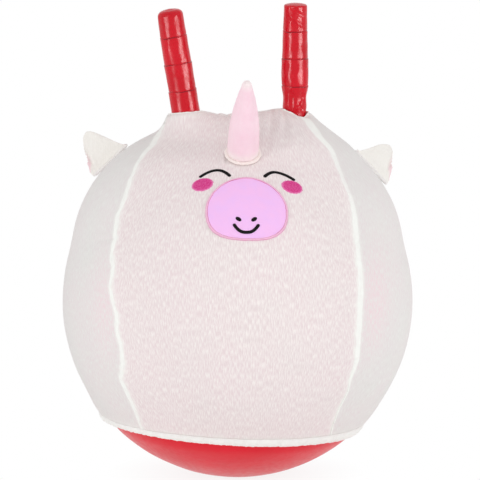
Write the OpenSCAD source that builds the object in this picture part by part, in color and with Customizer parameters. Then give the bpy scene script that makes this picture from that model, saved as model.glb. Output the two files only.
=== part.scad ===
// Hopper ball: an inflated ball with two ribbed handles, dressed in a plush cover with a horn,
// two ears and an embroidered animal face. Millimetres, +Z up, the face looks towards -Y.
// The origin is the middle of the flat that the ball rests on.

/* [Ball] */
// Outside diameter of the inflated ball
ball_d = 450; // [400:5:500]
// Wall of the ball
ball_wall = 1.2; // [1:0.1:2]
// Width of the flat where the soft ball settles on the floor
foot_d = 64; // [48:2:80]
// How far the bare end of the ball bulges down below the hem
bulge_drop = 5; // [3:0.5:6]
// Distance from the middle of the ball to the middle of each shoulder
shoulder_offset = 78; // [70:1:84]
// How far each shoulder swells out beyond the round of the ball
shoulder_swell = 18.2; // [14:0.2:22]
// Lean of each shoulder away from straight up, in degrees
shoulder_angle = 38; // [34:1:42]

/* [Handles] */
// Distance between the roots of the two handles
handle_spacing = 140.6; // [130:0.2:150]
// Height of the handle roots above the crown of the ball
root_rise = 24.5; // [22:0.5:28]
// Diameters of the left handle at its root, its middle and its tip
left_root_d = 37; // [34:0.5:38]
left_belly_d = 35.6; // [33:0.2:38]
left_tip_d = 33; // [30:0.5:35]
// Length of the left handle above its root
left_length = 136.5; // [128:0.5:145]
// Outward lean of the left handle, in degrees
left_lean = 8; // [0:0.5:10]
// Diameters of the right handle at its root, its middle and its tip
right_root_d = 31; // [29:0.5:34]
right_belly_d = 35; // [33:0.2:37]
right_tip_d = 30; // [28:0.5:33]
// Length of the right handle above its root
right_length = 142.4; // [134:0.2:150]
// Outward lean of the right handle, in degrees
right_lean = 0.5; // [0:0.5:10]
// Wall of a handle and of the neck it stands on
handle_wall = 2; // [1.5:0.1:3]
// Distance from a handle's tip to its first grip rib, and from rib to rib
rib_pitch = 36; // [33:0.5:38]
// Height of a grip rib above the handle
rib_h = 0.9; // [0.6:0.1:1.2]
// Width of a grip rib
rib_w = 1.8; // [1.4:0.1:2.4]
// Rounding of a handle's tip
tip_round = 9; // [6:0.5:12]
// Radius of the flare where a neck runs out into a shoulder
neck_flare = 14; // [11:0.5:16]

/* [Valve] */
// Where the valve sits on the back, in degrees below the middle of the ball
valve_down = 60; // [58:1:62]
// Diameter of the valve seat
seat_d = 22; // [20:0.5:26]
// Length of the valve seat, inwards from the skin of the ball
seat_l = 15; // [14:0.5:18]
// Diameter of the seat's flange, inside the ball
flange_d = 34; // [30:0.5:38]
// Thickness of the flange
flange_t = 1.6; // [1.2:0.1:2]
// Diameter of the plug's stem
stem_d = 7; // [6:0.1:8]
// Radial clearance of the stem in the seat's bore
stem_fit = 0.05; // [0.02:0.01:0.08]
// Length of the plug's stem, without its nose
stem_l = 9; // [8:0.5:10]
// Length of the plug's tapered nose
nose_l = 3; // [2:0.5:4]
// Diameter of the plug's head
head_d = 14; // [12:0.5:16]
// Thickness of the plug's head
head_t = 2; // [1.6:0.1:2.4]

/* [Cover] */
// Thickness of the plush
cover_t = 1.8; // [1.5:0.1:2.2]
// Space between the ball and the plush
cover_gap = 1; // [0.9:0.05:1.1]
// How far the plush stands over the ball's crown, midway between the handles
saddle_rise = 20.5; // [16:0.5:22]
// Width of the ridge of plush between the handles
saddle_w = 24; // [18:1:30]
// Outward lean of the left and the right handle opening, in degrees
left_opening_lean = 8; // [4:0.5:12]
right_opening_lean = 9; // [4:0.5:12]
// Distance over which the plush flares up to a handle, in degrees round the ball
flare_angle = 4; // [3.5:0.1:4.5]
// Half width of the front and back panels at the middle of the ball, in degrees
panel_half = 44.3; // [42:0.1:46]
// How much narrower that half is at the hem, in degrees
panel_taper = 13; // [10:0.5:15]
// Width of a sewn seam
seam_w = 4.6; // [3.6:0.2:6]
// How far a seam stands out of the plush
seam_h = 1.3; // [0.8:0.1:1.8]

/* [Hem and openings] */
// Where the hem lies, in degrees below the middle of the ball
hem_down = 41; // [40:0.2:43]
// Sideways tilt of the hem, in degrees
hem_tilt = 2.5; // [0:0.5:6]
// Width of the hem casing
hem_w = 20; // [16:0.5:22]
// Thickness of the hem casing
hem_t = 4.4; // [4.2:0.1:5]
// Thickness of the cloth that the hem casing is folded from
hem_cloth = 0.9; // [0.7:0.1:1.1]
// Width of the elastic in the hem
hem_elastic_w = 12; // [8:0.5:14]
// Thickness of the elastic in the hem
hem_elastic_t = 1.9; // [1.4:0.1:1.9]
// Width of the band round each handle opening, away from the handle
collar_t = 3; // [2.8:0.1:3.6]
// Height of that band
collar_h = 7; // [6:0.5:8]
// How much of the band's height is above the handle root
collar_above = 3; // [2.5:0.5:3.5]
// Diameter of the elastic cord in the band
collar_cord_d = 1.4; // [1.2:0.1:1.5]

/* [Horn] */
// Where the horn stands, in degrees above the middle of the ball
horn_up = 66; // [64:1:68]
// Diameter of the horn at its foot
horn_d = 42; // [38:0.5:44]
// Height of the horn
horn_l = 119; // [105:1:125]
// Lean of the horn to one side, in degrees
horn_lean = 2.5; // [0:0.5:3]
// Diameter of the horn's round tip
horn_tip_d = 13; // [11:0.5:16]
// Thickness of the horn's plush
horn_skin = 1.6; // [1.2:0.1:2]
// Thickness of the stitched ring round the horn's foot
horn_ring_d = 3; // [2.4:0.1:3.6]

/* [Ears] */
// Where the middle of the left and the right ear's root lies, in degrees from straight up
left_ear_angle = 44; // [42:0.5:46]
right_ear_angle = 47; // [45:0.5:49]
// How far the ears stand behind the middle of the ball, in degrees about the upright axis
ear_back = 15; // [10:1:18]
// Length of an ear's root
ear_root_l = 64; // [58:1:68]
// Height of an ear
ear_h = 50; // [46:1:56]
// Thickness of an ear at its fullest
ear_t = 7.5; // [6.5:0.5:9]
// Thickness of an ear's plush on each side
ear_skin = 1.3; // [1.1:0.1:1.5]
// Diameter of the rolled seam that an ear swings on
ear_roll_d = 6; // [5.4:0.2:6.6]
// How far the ear's edges curl forwards
ear_cup = 7; // [4:0.5:9]
// Backward lean of the left and the right ear, in degrees
left_ear_lean = 5; // [0:1:20]
right_ear_lean = 45; // [30:1:48]

/* [Face] */
// Middle of the muzzle, in degrees above the middle of the ball
face_up = 41.2; // [38:0.2:43]
// Turn of the face about the upright axis, in degrees
face_turn = 4.1; // [0:0.1:6]
// Sideways roll of the face, in degrees
face_roll = 2.5; // [0:0.5:5]
// Width of the muzzle patch, with its edging
muzzle_w = 107.6; // [100:0.2:112]
// Height of the muzzle above and below its widest line
muzzle_above = 54.5; // [50:0.5:56]
muzzle_below = 43.5; // [40:0.5:48]
// Thickness of the muzzle patch
patch_t = 1.2; // [1:0.1:1.6]
// Width of the stitched edging round the patch
edging_w = 4; // [3:0.2:5]
// How far the edging stands above the patch
edging_proud = 0.6; // [0.3:0.1:1]
// Thickness of the embroidery
stitch_t = 1; // [0.8:0.1:1.4]
// Width of the embroidered eye lines
eye_line = 2.6; // [2:0.1:3.4]
// Span of an eye line from end to end
eye_span = 40.5; // [36:0.5:44]
// Height of an eye line's arch
eye_arch = 12; // [9:0.5:14]
// Distance of each eye from the middle of the face
eye_out = 43; // [40:0.5:46]
// Height of the eyes' ends above the middle of the muzzle
eye_rise = 57.2; // [56:0.2:60]
// Length and height of a cheek
cheek_l = 28.8; // [25:0.2:32]
cheek_h = 23; // [20:0.5:25]
// Distance of each cheek from the middle of the face
cheek_out = 60; // [58:0.5:64]
// Height of the cheeks above the middle of the muzzle
cheek_rise = 43.5; // [42:0.5:44.5]
// Length and width of a nostril
nostril_l = 7.4; // [6:0.2:9]
nostril_w = 4.6; // [3.6:0.2:5]
// Distance of each nostril from the middle of the face
nostril_out = 10.1; // [8.5:0.1:12]
// Depth of the nostrils below the middle of the muzzle
nostril_drop = 13.5; // [11:0.5:14]
// Width of the mouth line
mouth_line = 3.2; // [2.4:0.1:3.8]
// Span of the mouth from end to end
mouth_span = 33.4; // [30:0.2:36]
// Height of the mouth's curve
mouth_arch = 11; // [9:0.5:12]
// Depth of the mouth's ends below the middle of the muzzle
mouth_drop = 22; // [21:0.5:24]

/* [Hidden] */

// Clearances
seat_gap = 0.35; // soft piece to the piece that carries it
edge_gap = 0.4; // one cut edge of plush to the next
trim_gap = 0.15; // embroidery to the plush under it
wall_fit = 0.1; // valve seat in the skin of the ball
overrun = 1; // how far a cutting shape passes the surface it cuts

// Grids: degrees per step of the plush, steps across an ear, a step for slopes
step = 6;
ear_steps = 8;
crown_steps = 6;
arc_steps = 10;
cheek_steps = 4;
probe = 0.02;

// Shares, chosen by eye
blend_share = 0.02; // rounding of the plush where it runs onto a shoulder, of the ball's radius
flare_power = 1.25; // how quickly a flare ends
crest_beta = 15; // the front panel is widest here, degrees above the middle
hem_beta_guess = 54; // the same panel's corners at the hem lie about this far below the middle
side_top_beta = 89; // the side panels end here, under the handle openings
seam_shares = [[-1, 0], [-0.5, 0.9], [0.5, 0.9], [1, 0], [0, -1]];
bulge_slope = 2.7; // run of the ball's skin, for its rise, where it comes out from under the hem
skirt_share = 0.6; // a neck's hidden foot, of its flare
horn_belly_share = 0.42; // the horn is fullest here, of its height
horn_belly_swell_share = 0.06; // how much fuller than a cone, of its foot
left_ear_tip_share = 0.56; // an ear's tip stands over this share of its root
right_ear_tip_share = 0.5;
ear_rise_power = 1.3; // roundness of the ear's long edge
ear_fall_power = 0.8; // roundness of its short edge
edge_share = 0.04; // an ear's sewn edge, of its root
ear_min_share = 0.1; // height of the ear's cut ends, of its full height
wadding_in = 0.12; // the ear's wadding ends this far from each end of its root, of the root
wadding_full = 0.85; // fullness of the wadding, of the room between the ear's two sides
muzzle_lower_power = 2.6; // squareness of the muzzle's lower half
eye_top_share = 0.7; // the raised top of an eye's line, of its width
eye_end_share = 0.4; // its blunt ends, of its width
edge_in = 0.9; // the first row of a cheek, of the way to its edge
cheek_tilt = 3;
nostril_tilt = 38;
eye_tilt = -3;
belly_share = 0.32; // a handle is fullest here, of its length
rib_count = 3;

// Derived sizes of the ball
ball_r = ball_d / 2;
foot_r = foot_d / 2;
centre_h = bulge_drop + sqrt(ball_r * ball_r - foot_r * foot_r);
shoulder_r = ball_r + shoulder_swell - shoulder_offset;
root_x = handle_spacing / 2;
root_h = ball_r + root_rise;
root_reach = norm([root_x, root_h]);
root_tilt = atan2(root_x, root_h);
flange_sag = ball_r - sqrt(pow(ball_r - ball_wall, 2) - pow(flange_d / 2, 2)) - ball_wall + wall_fit;
plug_top = sqrt(ball_r * ball_r - head_d * head_d / 4);

// Derived sizes of the cover
skin = cover_gap + cover_t;
skin_r = ball_r + skin;
blend_r = ball_r * blend_share;
saddle_h = ball_r + cover_gap + saddle_rise;
seam_half = seam_w / 2;
hem_r1 = ball_r + seat_gap;
hem_r2 = hem_r1 + hem_t;
hem_half_angle = deg(hem_w / 2 / ball_r);
tent_points = [for (u = [-1:0.25:1], v = [-1, 0, 1])
    [u * (root_x - left_root_d / 2), v * saddle_w / 2, mix(saddle_h, root_h, pow(u, 4))]];
rows_front = ceil((90 + hem_beta_guess) / step);
cols_front = ceil(2 * panel_half / step);
crown_beta = 90 - deg((seam_half + edge_gap) / saddle_h);
panel_down = hem_down - deg(edge_gap / ball_r);
seam_edge_angle = deg((seam_half + edge_gap) / skin_r);
plush_r = skin_r + trim_gap;
patch_r = plush_r + patch_t + trim_gap;

function deg(rad) = rad * 180 / PI;
function mix(a, b, t) = a + (b - a) * t;
function unit(v) = v / norm(v);
// Nothing below zero, x above it, with a soft turn between the two
function eased(x) = x < -blend_r ? 0 : x > blend_r ? x : pow(x + blend_r, 2) / (4 * blend_r);
function flat(rows) = [for (row = rows) each row];

// Directions from the middle of the ball. beta climbs from the front over the crown, lambda turns
// towards +X. lat is degrees above the middle, az is degrees from the front towards +X.
function toward(beta, lambda) = [sin(lambda), -cos(lambda) * cos(beta), cos(lambda) * sin(beta)];
function toward_lat(lat, az) = [cos(lat) * sin(az), -cos(lat) * cos(az), sin(lat)];

// Outer face of the plush along direction d: the round of the ball and its shoulders, the tent of
// cloth that spans from one handle to the other, and the flares up to the two handle openings.
function shoulder_reach(d, side, grow) =
    let (c = shoulder_offset * [side * sin(shoulder_angle), 0, cos(shoulder_angle)],
        along = d * c,
        r = shoulder_r + grow,
        inside = r * r - c * c + along * along)
    inside > 0 ? along + sqrt(inside) : 0;
function tent_reach(d, p) =
    let (far = norm(p),
        away = acos(min(1, d * p / far)),
        touch = acos(min(1, skin_r / far)))
    away < touch ? skin_r / cos(touch - away) : skin_r;
function round_reach(d) =
    let (shoulder = max(shoulder_reach(d, -1, skin), shoulder_reach(d, 1, skin)) - skin_r,
        tent = max([for (p = tent_points) tent_reach(d, p)]) - skin_r)
    skin_r + pow(pow(eased(shoulder), 4) + pow(tent, 4), 1 / 4);
function flare_share(d, side) =
    let (away = acos(min(1, d * root_dir(side))))
    exp(-pow(max(0, away - deg(hole_r(side) / root_reach)) / flare_angle, flare_power));
function opening_reach(d, side) =
    let (n = [side * sin(opening_lean(side)), 0, cos(opening_lean(side))])
    (n * root_reach * root_dir(side)) / (n * d);
function envelope(d) =
    let (side = d[0] < 0 ? -1 : 1, w = flare_share(d, side))
    w < probe * probe ? round_reach(d) : mix(round_reach(d), opening_reach(d, side), w);
function on_cover(d) = envelope(d) * d;
function cover_normal(d) =
    let (across = unit(cross([0, 0, 1], d)),
        up = cross(d, across),
        a = on_cover(unit(d + across * probe)) - on_cover(unit(d - across * probe)),
        b = on_cover(unit(d + up * probe)) - on_cover(unit(d - up * probe)))
    unit(cross(a, b));

// The seam between a front panel and a side panel, as lambda for a given beta
function seam_lambda(beta) =
    beta < crest_beta
        ? panel_half - panel_taper * pow((crest_beta - beta) / (crest_beta + hem_beta_guess), 2)
        : mix(panel_half, root_tilt, pow((beta - crest_beta) / (90 - crest_beta), 2));
function edge_degrees(d) = deg((seam_half + edge_gap) / envelope(d));

// The hem lies in a tilted plane, at cover_down degrees round the ball from its own middle line
function hem_beta(lambda, down) =
    asin((-sin(down) - sin(lambda) * sin(hem_tilt)) / (cos(lambda) * cos(hem_tilt)));
function hem_start(s, down, inset = 0, lambda = 0, tries = 8) =
    tries == 0 ? hem_beta(lambda, down)
        : hem_start(s, down, inset, s * (seam_lambda(hem_beta(lambda, down)) - inset), tries - 1);
function hem_lat(az, down) =
    let (a = cos(hem_tilt), b = sin(az) * sin(hem_tilt))
    -asin(sin(down) / norm([a, b])) - atan2(b, a);

function root_d(side) = side < 0 ? left_root_d : right_root_d;
function belly_d(side) = side < 0 ? left_belly_d : right_belly_d;
function tip_d(side) = side < 0 ? left_tip_d : right_tip_d;
function handle_length(side) = side < 0 ? left_length : right_length;
function lean(side) = side < 0 ? left_lean : right_lean;
function ear_lean(side) = side < 0 ? left_ear_lean : right_ear_lean;
function ear_angle(side) = side < 0 ? left_ear_angle : right_ear_angle;
function ear_tip_share(side) = side < 0 ? left_ear_tip_share : right_ear_tip_share;
function ear_dir(side) =
    let (out = sin(ear_angle(side))) [side * out * cos(ear_back), out * sin(ear_back), cos(ear_angle(side))];
function opening_lean(side) = side < 0 ? left_opening_lean : right_opening_lean;
function root_dir(side) = unit([side * root_x, 0, root_h]);
// Inside of a collar: clear of the handle, which crosses it at an angle
function collar_inner(side) =
    let (cant = abs(opening_lean(side) - lean(side)))
    root_d(side) / 2 / cos(cant) + collar_h * sin(cant) / 2 + seat_gap;
function hole_r(side) = collar_inner(side) + collar_t + edge_gap;

// Puts the middle of the ball at its height over the floor
module at_centre() {
    translate([0, 0, centre_h]) children();
}

// A frame on a handle's axis, with its origin at the root and +Z along the handle
module at_root(side) {
    at_centre() translate([side * root_x, 0, root_h]) rotate([0, side * lean(side), 0]) children();
}

// A frame at the middle of the ball, with +Z towards a place on it and +Y up the surface
module facing(lat, az, roll = 0) {
    at_centre() rotate([0, 0, az]) rotate([90 - lat, 0, 0]) rotate([0, 0, -roll]) children();
}

// Moves +Z round the ball by arc lengths across and up, from the middle of the face
module along_surface(across, up) {
    far = norm([across, up]);
    turn = atan2(up, across);
    rotate([0, 0, turn]) rotate([0, deg(far / skin_r), 0]) rotate([0, 0, -turn]) children();
}

module on_face(across, up) {
    facing(face_up, face_turn, face_roll) along_surface(across, up) children();
}

// A closed solid between two grids of points, rows upwards and columns to the right seen from outside
module shell_between(outer, inner, flip = false) {
    rows = len(outer);
    cols = len(outer[0]);
    count = rows * cols;
    o = function(i, j) i * cols + j;
    n = function(i, j) count + i * cols + j;
    faces = [
        for (i = [0:rows - 2], j = [0:cols - 2]) each [
            [o(i, j), o(i + 1, j), o(i + 1, j + 1)], [o(i, j), o(i + 1, j + 1), o(i, j + 1)],
            [n(i, j), n(i + 1, j + 1), n(i + 1, j)], [n(i, j), n(i, j + 1), n(i + 1, j + 1)]],
        for (j = [0:cols - 2]) each [
            [o(0, j), o(0, j + 1), n(0, j + 1)], [o(0, j), n(0, j + 1), n(0, j)],
            [o(rows - 1, j + 1), o(rows - 1, j), n(rows - 1, j)],
            [o(rows - 1, j + 1), n(rows - 1, j), n(rows - 1, j + 1)]],
        for (i = [0:rows - 2]) each [
            [o(i + 1, 0), o(i, 0), n(i, 0)], [o(i + 1, 0), n(i, 0), n(i + 1, 0)],
            [o(i, cols - 1), o(i + 1, cols - 1), n(i + 1, cols - 1)],
            [o(i, cols - 1), n(i + 1, cols - 1), n(i, cols - 1)]]];
    polyhedron(concat(flat(outer), flat(inner)),
        flip ? [for (f = faces) [f[2], f[1], f[0]]] : faces);
}

// A closed solid through rings of points, each ring clockwise seen from the start
module swept(rings) {
    k = len(rings[0]);
    last = len(rings) - 1;
    faces = [
        [for (a = [k - 1:-1:0]) a],
        [for (a = [0:k - 1]) last * k + a],
        for (i = [0:last - 1], a = [0:k - 1]) each [
            [i * k + a, i * k + (a + 1) % k, (i + 1) * k + (a + 1) % k],
            [i * k + a, (i + 1) * k + (a + 1) % k, (i + 1) * k + a]]];
    polyhedron(flat(rings), faces);
}

module at_opening(side) {
    at_centre() translate([side * root_x, 0, root_h]) rotate([0, side * opening_lean(side), 0])
        children();
}

module handle_holes() {
    for (side = [-1, 1])
        at_opening(side) translate([0, 0, -collar_h * 3])
            cylinder(r = hole_r(side), h = collar_h * 6, $fn = 64);
}

// ---- ball

// Round of the ball with its shoulders, and the bare end that bulges out below the tight hem
module ball_form(inset) {
    run = deg(bulge_slope * bulge_drop / ball_r);
    start = hem_down + 2 * hem_half_angle + deg(bulge_slope * inset / ball_r);
    sphere(r = ball_r - inset, $fn = 160);
    intersection() {
        translate([0, 0, -bulge_drop]) sphere(r = ball_r - inset, $fn = 160);
        rotate([0, hem_tilt, 0]) rotate_extrude($fn = 160) polygon([[0, -2 * ball_r], [0, 0],
            (ball_r - bulge_drop) * [cos(start - run), -sin(start - run)],
            (ball_r + bulge_drop) * [cos(start + run), -sin(start + run)],
            2 * ball_r * [cos(start + run), -sin(start + run)], [2 * ball_r, -2 * ball_r]]);
    }
    for (side = [-1, 1])
        rotate([0, side * shoulder_angle, 0]) translate([0, 0, shoulder_offset])
            sphere(r = shoulder_r - inset, $fn = 160);
}

// Neck that flares from a handle's root down to the shoulder under it
module neck(side) {
    r = root_d(side) / 2;
    drop = root_reach - shoulder_reach([side * sin(root_tilt), 0, cos(root_tilt)], side, 0);
    foot = drop + neck_flare * skirt_share;
    arc_top = drop + neck_flare / 4 - neck_flare;
    rotate_extrude($fn = 96) polygon(concat(
        [[0, 0], [r, 0]],
        [for (a = [0:10:90]) [r + neck_flare * (1 - cos(a)), -arc_top - neck_flare * sin(a)]],
        [[r + neck_flare, -foot], [0, -foot]]));
}

module ball_shell() {
    color("crimson") difference() {
        union() {
            at_centre() ball_form(0);
            for (side = [-1, 1])
                at_root(side) neck(side);
        }
        difference() {
            at_centre() ball_form(ball_wall);
            translate([-ball_r, -ball_r, -ball_r]) cube([ball_d, ball_d, ball_r + ball_wall]);
        }
        for (side = [-1, 1])
            at_root(side) translate([0, 0, -root_h / 4])
                cylinder(d = root_d(side) - 2 * handle_wall, h = root_h / 2, $fn = 96);
        at_valve() translate([0, 0, ball_r - seat_l])
            cylinder(r = seat_d / 2 + wall_fit, h = 2 * seat_l, $fn = 64);
        translate([-ball_r, -ball_r, -ball_r]) cube([ball_d, ball_d, ball_r]);
    }
}

// Radius of a handle's outside at a height over its root, without ribs
function handle_r(side, z) =
    let (l = handle_length(side), zb = l * belly_share, a = root_d(side) / 2,
        b = belly_d(side) / 2, c = tip_d(side) / 2)
    z < zb ? mix(a, b, (1 - cos(180 * z / zb)) / 2) : mix(b, c, pow((z - zb) / (l - zb), 1.5));

module handle(side) {
    l = handle_length(side);
    shank = l - tip_round;
    tip_r = handle_r(side, shank);
    steps = 16;
    ribs = [for (i = [rib_count:-1:1]) l - i * rib_pitch];
    levels = [for (i = [0:steps]) shank * i / steps];
    outside = concat(
        flat([for (i = [0:steps])
            let (z = levels[i], near = [for (q = ribs) if (i < steps && q > z && q <= levels[i + 1]) q])
            concat([[handle_r(side, z), z]],
                flat([for (q = near) [
                    [handle_r(side, q), q - rib_w / 2], [handle_r(side, q) + rib_h, q - rib_w / 4],
                    [handle_r(side, q) + rib_h, q + rib_w / 4], [handle_r(side, q), q + rib_w / 2]]]))]),
        [for (a = [10:10:90]) [tip_r - tip_round * (1 - cos(a)), shank + tip_round * sin(a)]],
        [[0, l]]);
    inner_round = tip_round - handle_wall;
    inside = concat(
        [for (z = levels) [handle_r(side, z) - handle_wall, z]],
        [for (a = [10:10:90])
            [tip_r - handle_wall - inner_round * (1 - cos(a)), shank + inner_round * sin(a)]],
        [[0, l - handle_wall]]);
    color("firebrick") at_root(side) rotate_extrude($fn = 96)
        polygon(concat(outside, [for (i = [len(inside) - 1:-1:0]) inside[i]]));
}

// ---- valve

module at_valve() {
    translate([0, 0, -bulge_drop]) facing(-valve_down, 180) children();
}

module valve_seat() {
    head_pocket = head_t + wall_fit;
    color("darkred") intersection() {
        at_valve() difference() {
            union() {
                translate([0, 0, ball_r - seat_l]) cylinder(d = seat_d, h = 2 * seat_l, $fn = 64);
                translate([0, 0, ball_r - ball_wall - flange_sag - flange_t])
                    cylinder(d = flange_d, h = flange_t, $fn = 64);
            }
            translate([0, 0, ball_r - seat_l - overrun])
                cylinder(r = stem_d / 2 + stem_fit, h = 2 * seat_l, $fn = 64);
            translate([0, 0, plug_top - head_pocket])
                cylinder(r = head_d / 2 + 2 * wall_fit, h = seat_l, $fn = 64);
        }
        translate([0, 0, -bulge_drop]) at_centre() sphere(r = ball_r, $fn = 160);
    }
}
module valve_plug() {
    color("white") at_valve() translate([0, 0, plug_top - head_t]) difference() {
        union() {
            cylinder(d = head_d, h = head_t, $fn = 64);
            translate([0, 0, -stem_l]) cylinder(d = stem_d, h = stem_l + head_t / 2, $fn = 64);
            translate([0, 0, -stem_l - nose_l]) cylinder(d1 = stem_d / 2, d2 = stem_d, h = nose_l, $fn = 64);
        }
        // A nick for a fingernail
        translate([-head_d / 8, head_d / 2 - head_t / 2, -overrun])
            cube([head_d / 4, head_t, head_t / 2 + overrun]);
    }
}

// ---- cover panels

function front_dir(i, j) =
    let (s = 2 * j / cols_front - 1,
        low = hem_start(s, panel_down, seam_edge_angle),
        beta = mix(low, crown_beta, i / rows_front),
        full = toward(beta, s * seam_lambda(beta)))
    toward(beta, s * (seam_lambda(beta) - edge_degrees(full)));

module front_panel_solid() {
    dirs = [for (i = [0:rows_front]) [for (j = [0:cols_front]) front_dir(i, j)]];
    reach = [for (row = dirs) [for (d = row) envelope(d)]];
    cloth(dirs, reach, false);
}

module cloth(dirs, reach, flip) {
    at = function(inset) [for (i = [0:len(dirs) - 1])
        [for (j = [0:len(dirs[0]) - 1]) dirs[i][j] * (reach[i][j] - inset)]];
    difference() {
        at_centre() shell_between(at(0), at(cover_t), flip);
        handle_holes();
    }
}

// Directions along a side panel's front edge, from the hem to the handle
function side_edge(side, i) =
    let (low = hem_start(side, panel_down, -seam_edge_angle),
        beta = mix(low, side_top_beta, i / rows_front),
        full = toward(beta, side * seam_lambda(beta)))
    toward(beta, side * (seam_lambda(beta) + edge_degrees(full)));

module side_panel_solid(side) {
    edge = [for (i = [0:rows_front]) side_edge(side, i)];
    start_lat = asin(edge[0][2]);
    dirs = [for (i = [0:rows_front])
        let (lat = asin(edge[i][2]), az = atan2(side * edge[i][0], -edge[i][1]), left = 1 - i / rows_front)
        [for (j = [0:cols_front])
            let (here = mix(az, 180 - az, j / cols_front),
                az0 = atan2(side * edge[0][0], -edge[0][1]),
                at_hem = hem_lat(side * mix(az0, 180 - az0, j / cols_front), panel_down) - start_lat)
            toward_lat(lat + at_hem * left * left, side * here)]];
    reach = [for (row = dirs) [for (d = row) envelope(d)]];
    cloth(dirs, reach, side < 0);
}

module front_panel() {
    color("mistyrose") front_panel_solid();
}
module back_panel() {
    color("mistyrose") mirror([0, 1, 0]) front_panel_solid();
}
module left_panel() {
    color("whitesmoke") side_panel_solid(-1);
}
module right_panel() {
    color("whitesmoke") side_panel_solid(1);
}

// ---- seams

// One ring of a seam's section at direction d, with across pointing over the seam
function seam_ring(d, across) =
    let (top = envelope(d) + seam_h, low = envelope(d) - cover_t)
    [for (p = seam_shares)
        d * (p[1] > 0 ? mix(envelope(d), top, p[1]) : mix(envelope(d), low, -p[1]))
            + across * p[0] * seam_half];

function seam_rings(side) =
    let (low = hem_start(side, panel_down))
    [for (i = [0:rows_front])
        let (beta = mix(low, side_top_beta, i / rows_front),
            d = toward(beta, side * seam_lambda(beta)),
            later = toward(beta + overrun, side * seam_lambda(beta + overrun)),
            along = unit(later - d))
        seam_ring(d, unit(cross(along, d)))];

module seam(side) {
    color("white") difference() {
        at_centre() swept(seam_rings(side));
        handle_holes();
    }
}

module crown_seam() {
    reach = root_tilt;
    color("white") difference() {
        at_centre() swept([for (i = [0:crown_steps])
            seam_ring(toward(90, mix(-reach, reach, i / crown_steps)), [0, -1, 0])]);
        handle_holes();
    }
}

// ---- hem and collars

// Section of a band bent round the ball, with round edges, for rotate_extrude
module band_section(r1, r2, half_angle) {
    half_t = (r2 - r1) / 2;
    arc = function(r, way) [for (i = [-way:way / 4:way]) r * [cos(half_angle * i), sin(half_angle * i)]];
    cap = function(way) [for (a = [15:15:165]) let (turn = way * half_angle + (way < 0 ? 180 : 0) + a)
        (r1 + half_t) * [cos(half_angle), way * sin(half_angle)] + half_t * [cos(turn), sin(turn)]];
    rotate(-hem_down - hem_half_angle) polygon(concat(arc(r2, 1), cap(1), arc(r1, -1), cap(-1)));
}

module around_hem() {
    at_centre() rotate([0, hem_tilt, 0]) rotate_extrude($fn = 180) children();
}

module hem_casing() {
    core = hem_half_angle - deg(hem_t / 2 / ball_r);
    hollow = hem_t - 2 * hem_cloth;
    color("snow") around_hem() difference() {
        band_section(hem_r1, hem_r2, core);
        band_section(hem_r1 + hem_cloth, hem_r2 - hem_cloth, deg((hem_w / 2 - hem_cloth - hollow / 2) / ball_r));
    }
}

module hem_elastic() {
    low = hem_r1 + hem_cloth + (hem_t - 2 * hem_cloth - hem_elastic_t) / 2;
    color("gainsboro") around_hem()
        band_section(low, low + hem_elastic_t, deg((hem_elastic_w - hem_elastic_t) / 2 / ball_r));
}

// The bound edge of a handle opening: a folded band with an elastic cord near its top
module collar(side) {
    r1 = collar_inner(side);
    z_low = collar_above - collar_h + collar_t / 2;
    z_cord = collar_above - collar_t / 2;
    color("snow") at_opening(side) rotate_extrude($fn = 96) difference() {
        union() {
            translate([r1, z_low]) square([collar_t, collar_h - collar_t]);
            for (z = [z_low, z_cord])
                translate([r1 + collar_t / 2, z]) circle(d = collar_t, $fn = 32);
        }
        translate([r1 + collar_t / 2, z_cord]) circle(d = collar_cord_d + 2 * wall_fit, $fn = 32);
    }
}

module collar_elastic(side) {
    color("gainsboro") at_opening(side) rotate_extrude($fn = 96)
        translate([collar_inner(side) + collar_t / 2, collar_above - collar_t / 2])
            circle(d = collar_cord_d, $fn = 32);
}

// ---- horn

horn_dir = toward_lat(horn_up, face_turn + 1);
horn_normal = cover_normal(horn_dir);

module at_horn() {
    axis = unit(horn_normal + [sin(horn_lean), 0, 0]);
    tilt = acos(axis[2]);
    turn = atan2(axis[1], axis[0]);
    at_centre() translate(on_cover(horn_dir) + horn_normal * seat_gap)
        rotate([0, tilt, turn]) children();
}

// Half width of the horn at a height over its foot, less an inset
function horn_r(z, inset) =
    let (body = horn_l - horn_tip_d / 2, t = z / body)
    mix(horn_d / 2, horn_tip_d / 2, t) - inset
        + horn_d * horn_belly_swell_share * sin(180 * pow(t, log(0.5) / log(horn_belly_share)));

module horn_form(inset) {
    body = horn_l - horn_tip_d / 2;
    tip = horn_tip_d / 2 - inset;
    foot = inset;
    steps = 14;
    rotate_extrude($fn = 72) polygon(concat(
        [[0, foot]],
        [for (i = [0:steps]) let (z = mix(foot, body, i / steps)) [horn_r(z, inset), z]],
        [for (a = [15:15:90]) [tip * cos(a), body + tip * sin(a)]]));
}

module horn_skin() {
    color("pink") at_horn() difference() {
        horn_form(0);
        horn_form(horn_skin);
    }
}

module horn_stuffing() {
    color("white") at_horn() horn_form(horn_skin + seat_gap);
}

module horn_ring() {
    ring_r = horn_d / 2 + horn_ring_d / 2 + seat_gap / 2;
    color("lavenderblush") at_horn() translate([0, 0, horn_ring_d / 2 + seat_gap])
        rotate_extrude($fn = 72) translate([ring_r, 0]) circle(d = horn_ring_d, $fn = 24);
}

// ---- ears

// The ear's own frame: X along its root, +Z out of the ball, -Y to the front
module at_ear(side) {
    at_centre() rotate([0, side * ear_angle(side), side * ear_back])
        translate([0, 0, envelope(ear_dir(side)) + ear_roll_d / 2 + seat_gap]) children();
}

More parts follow.
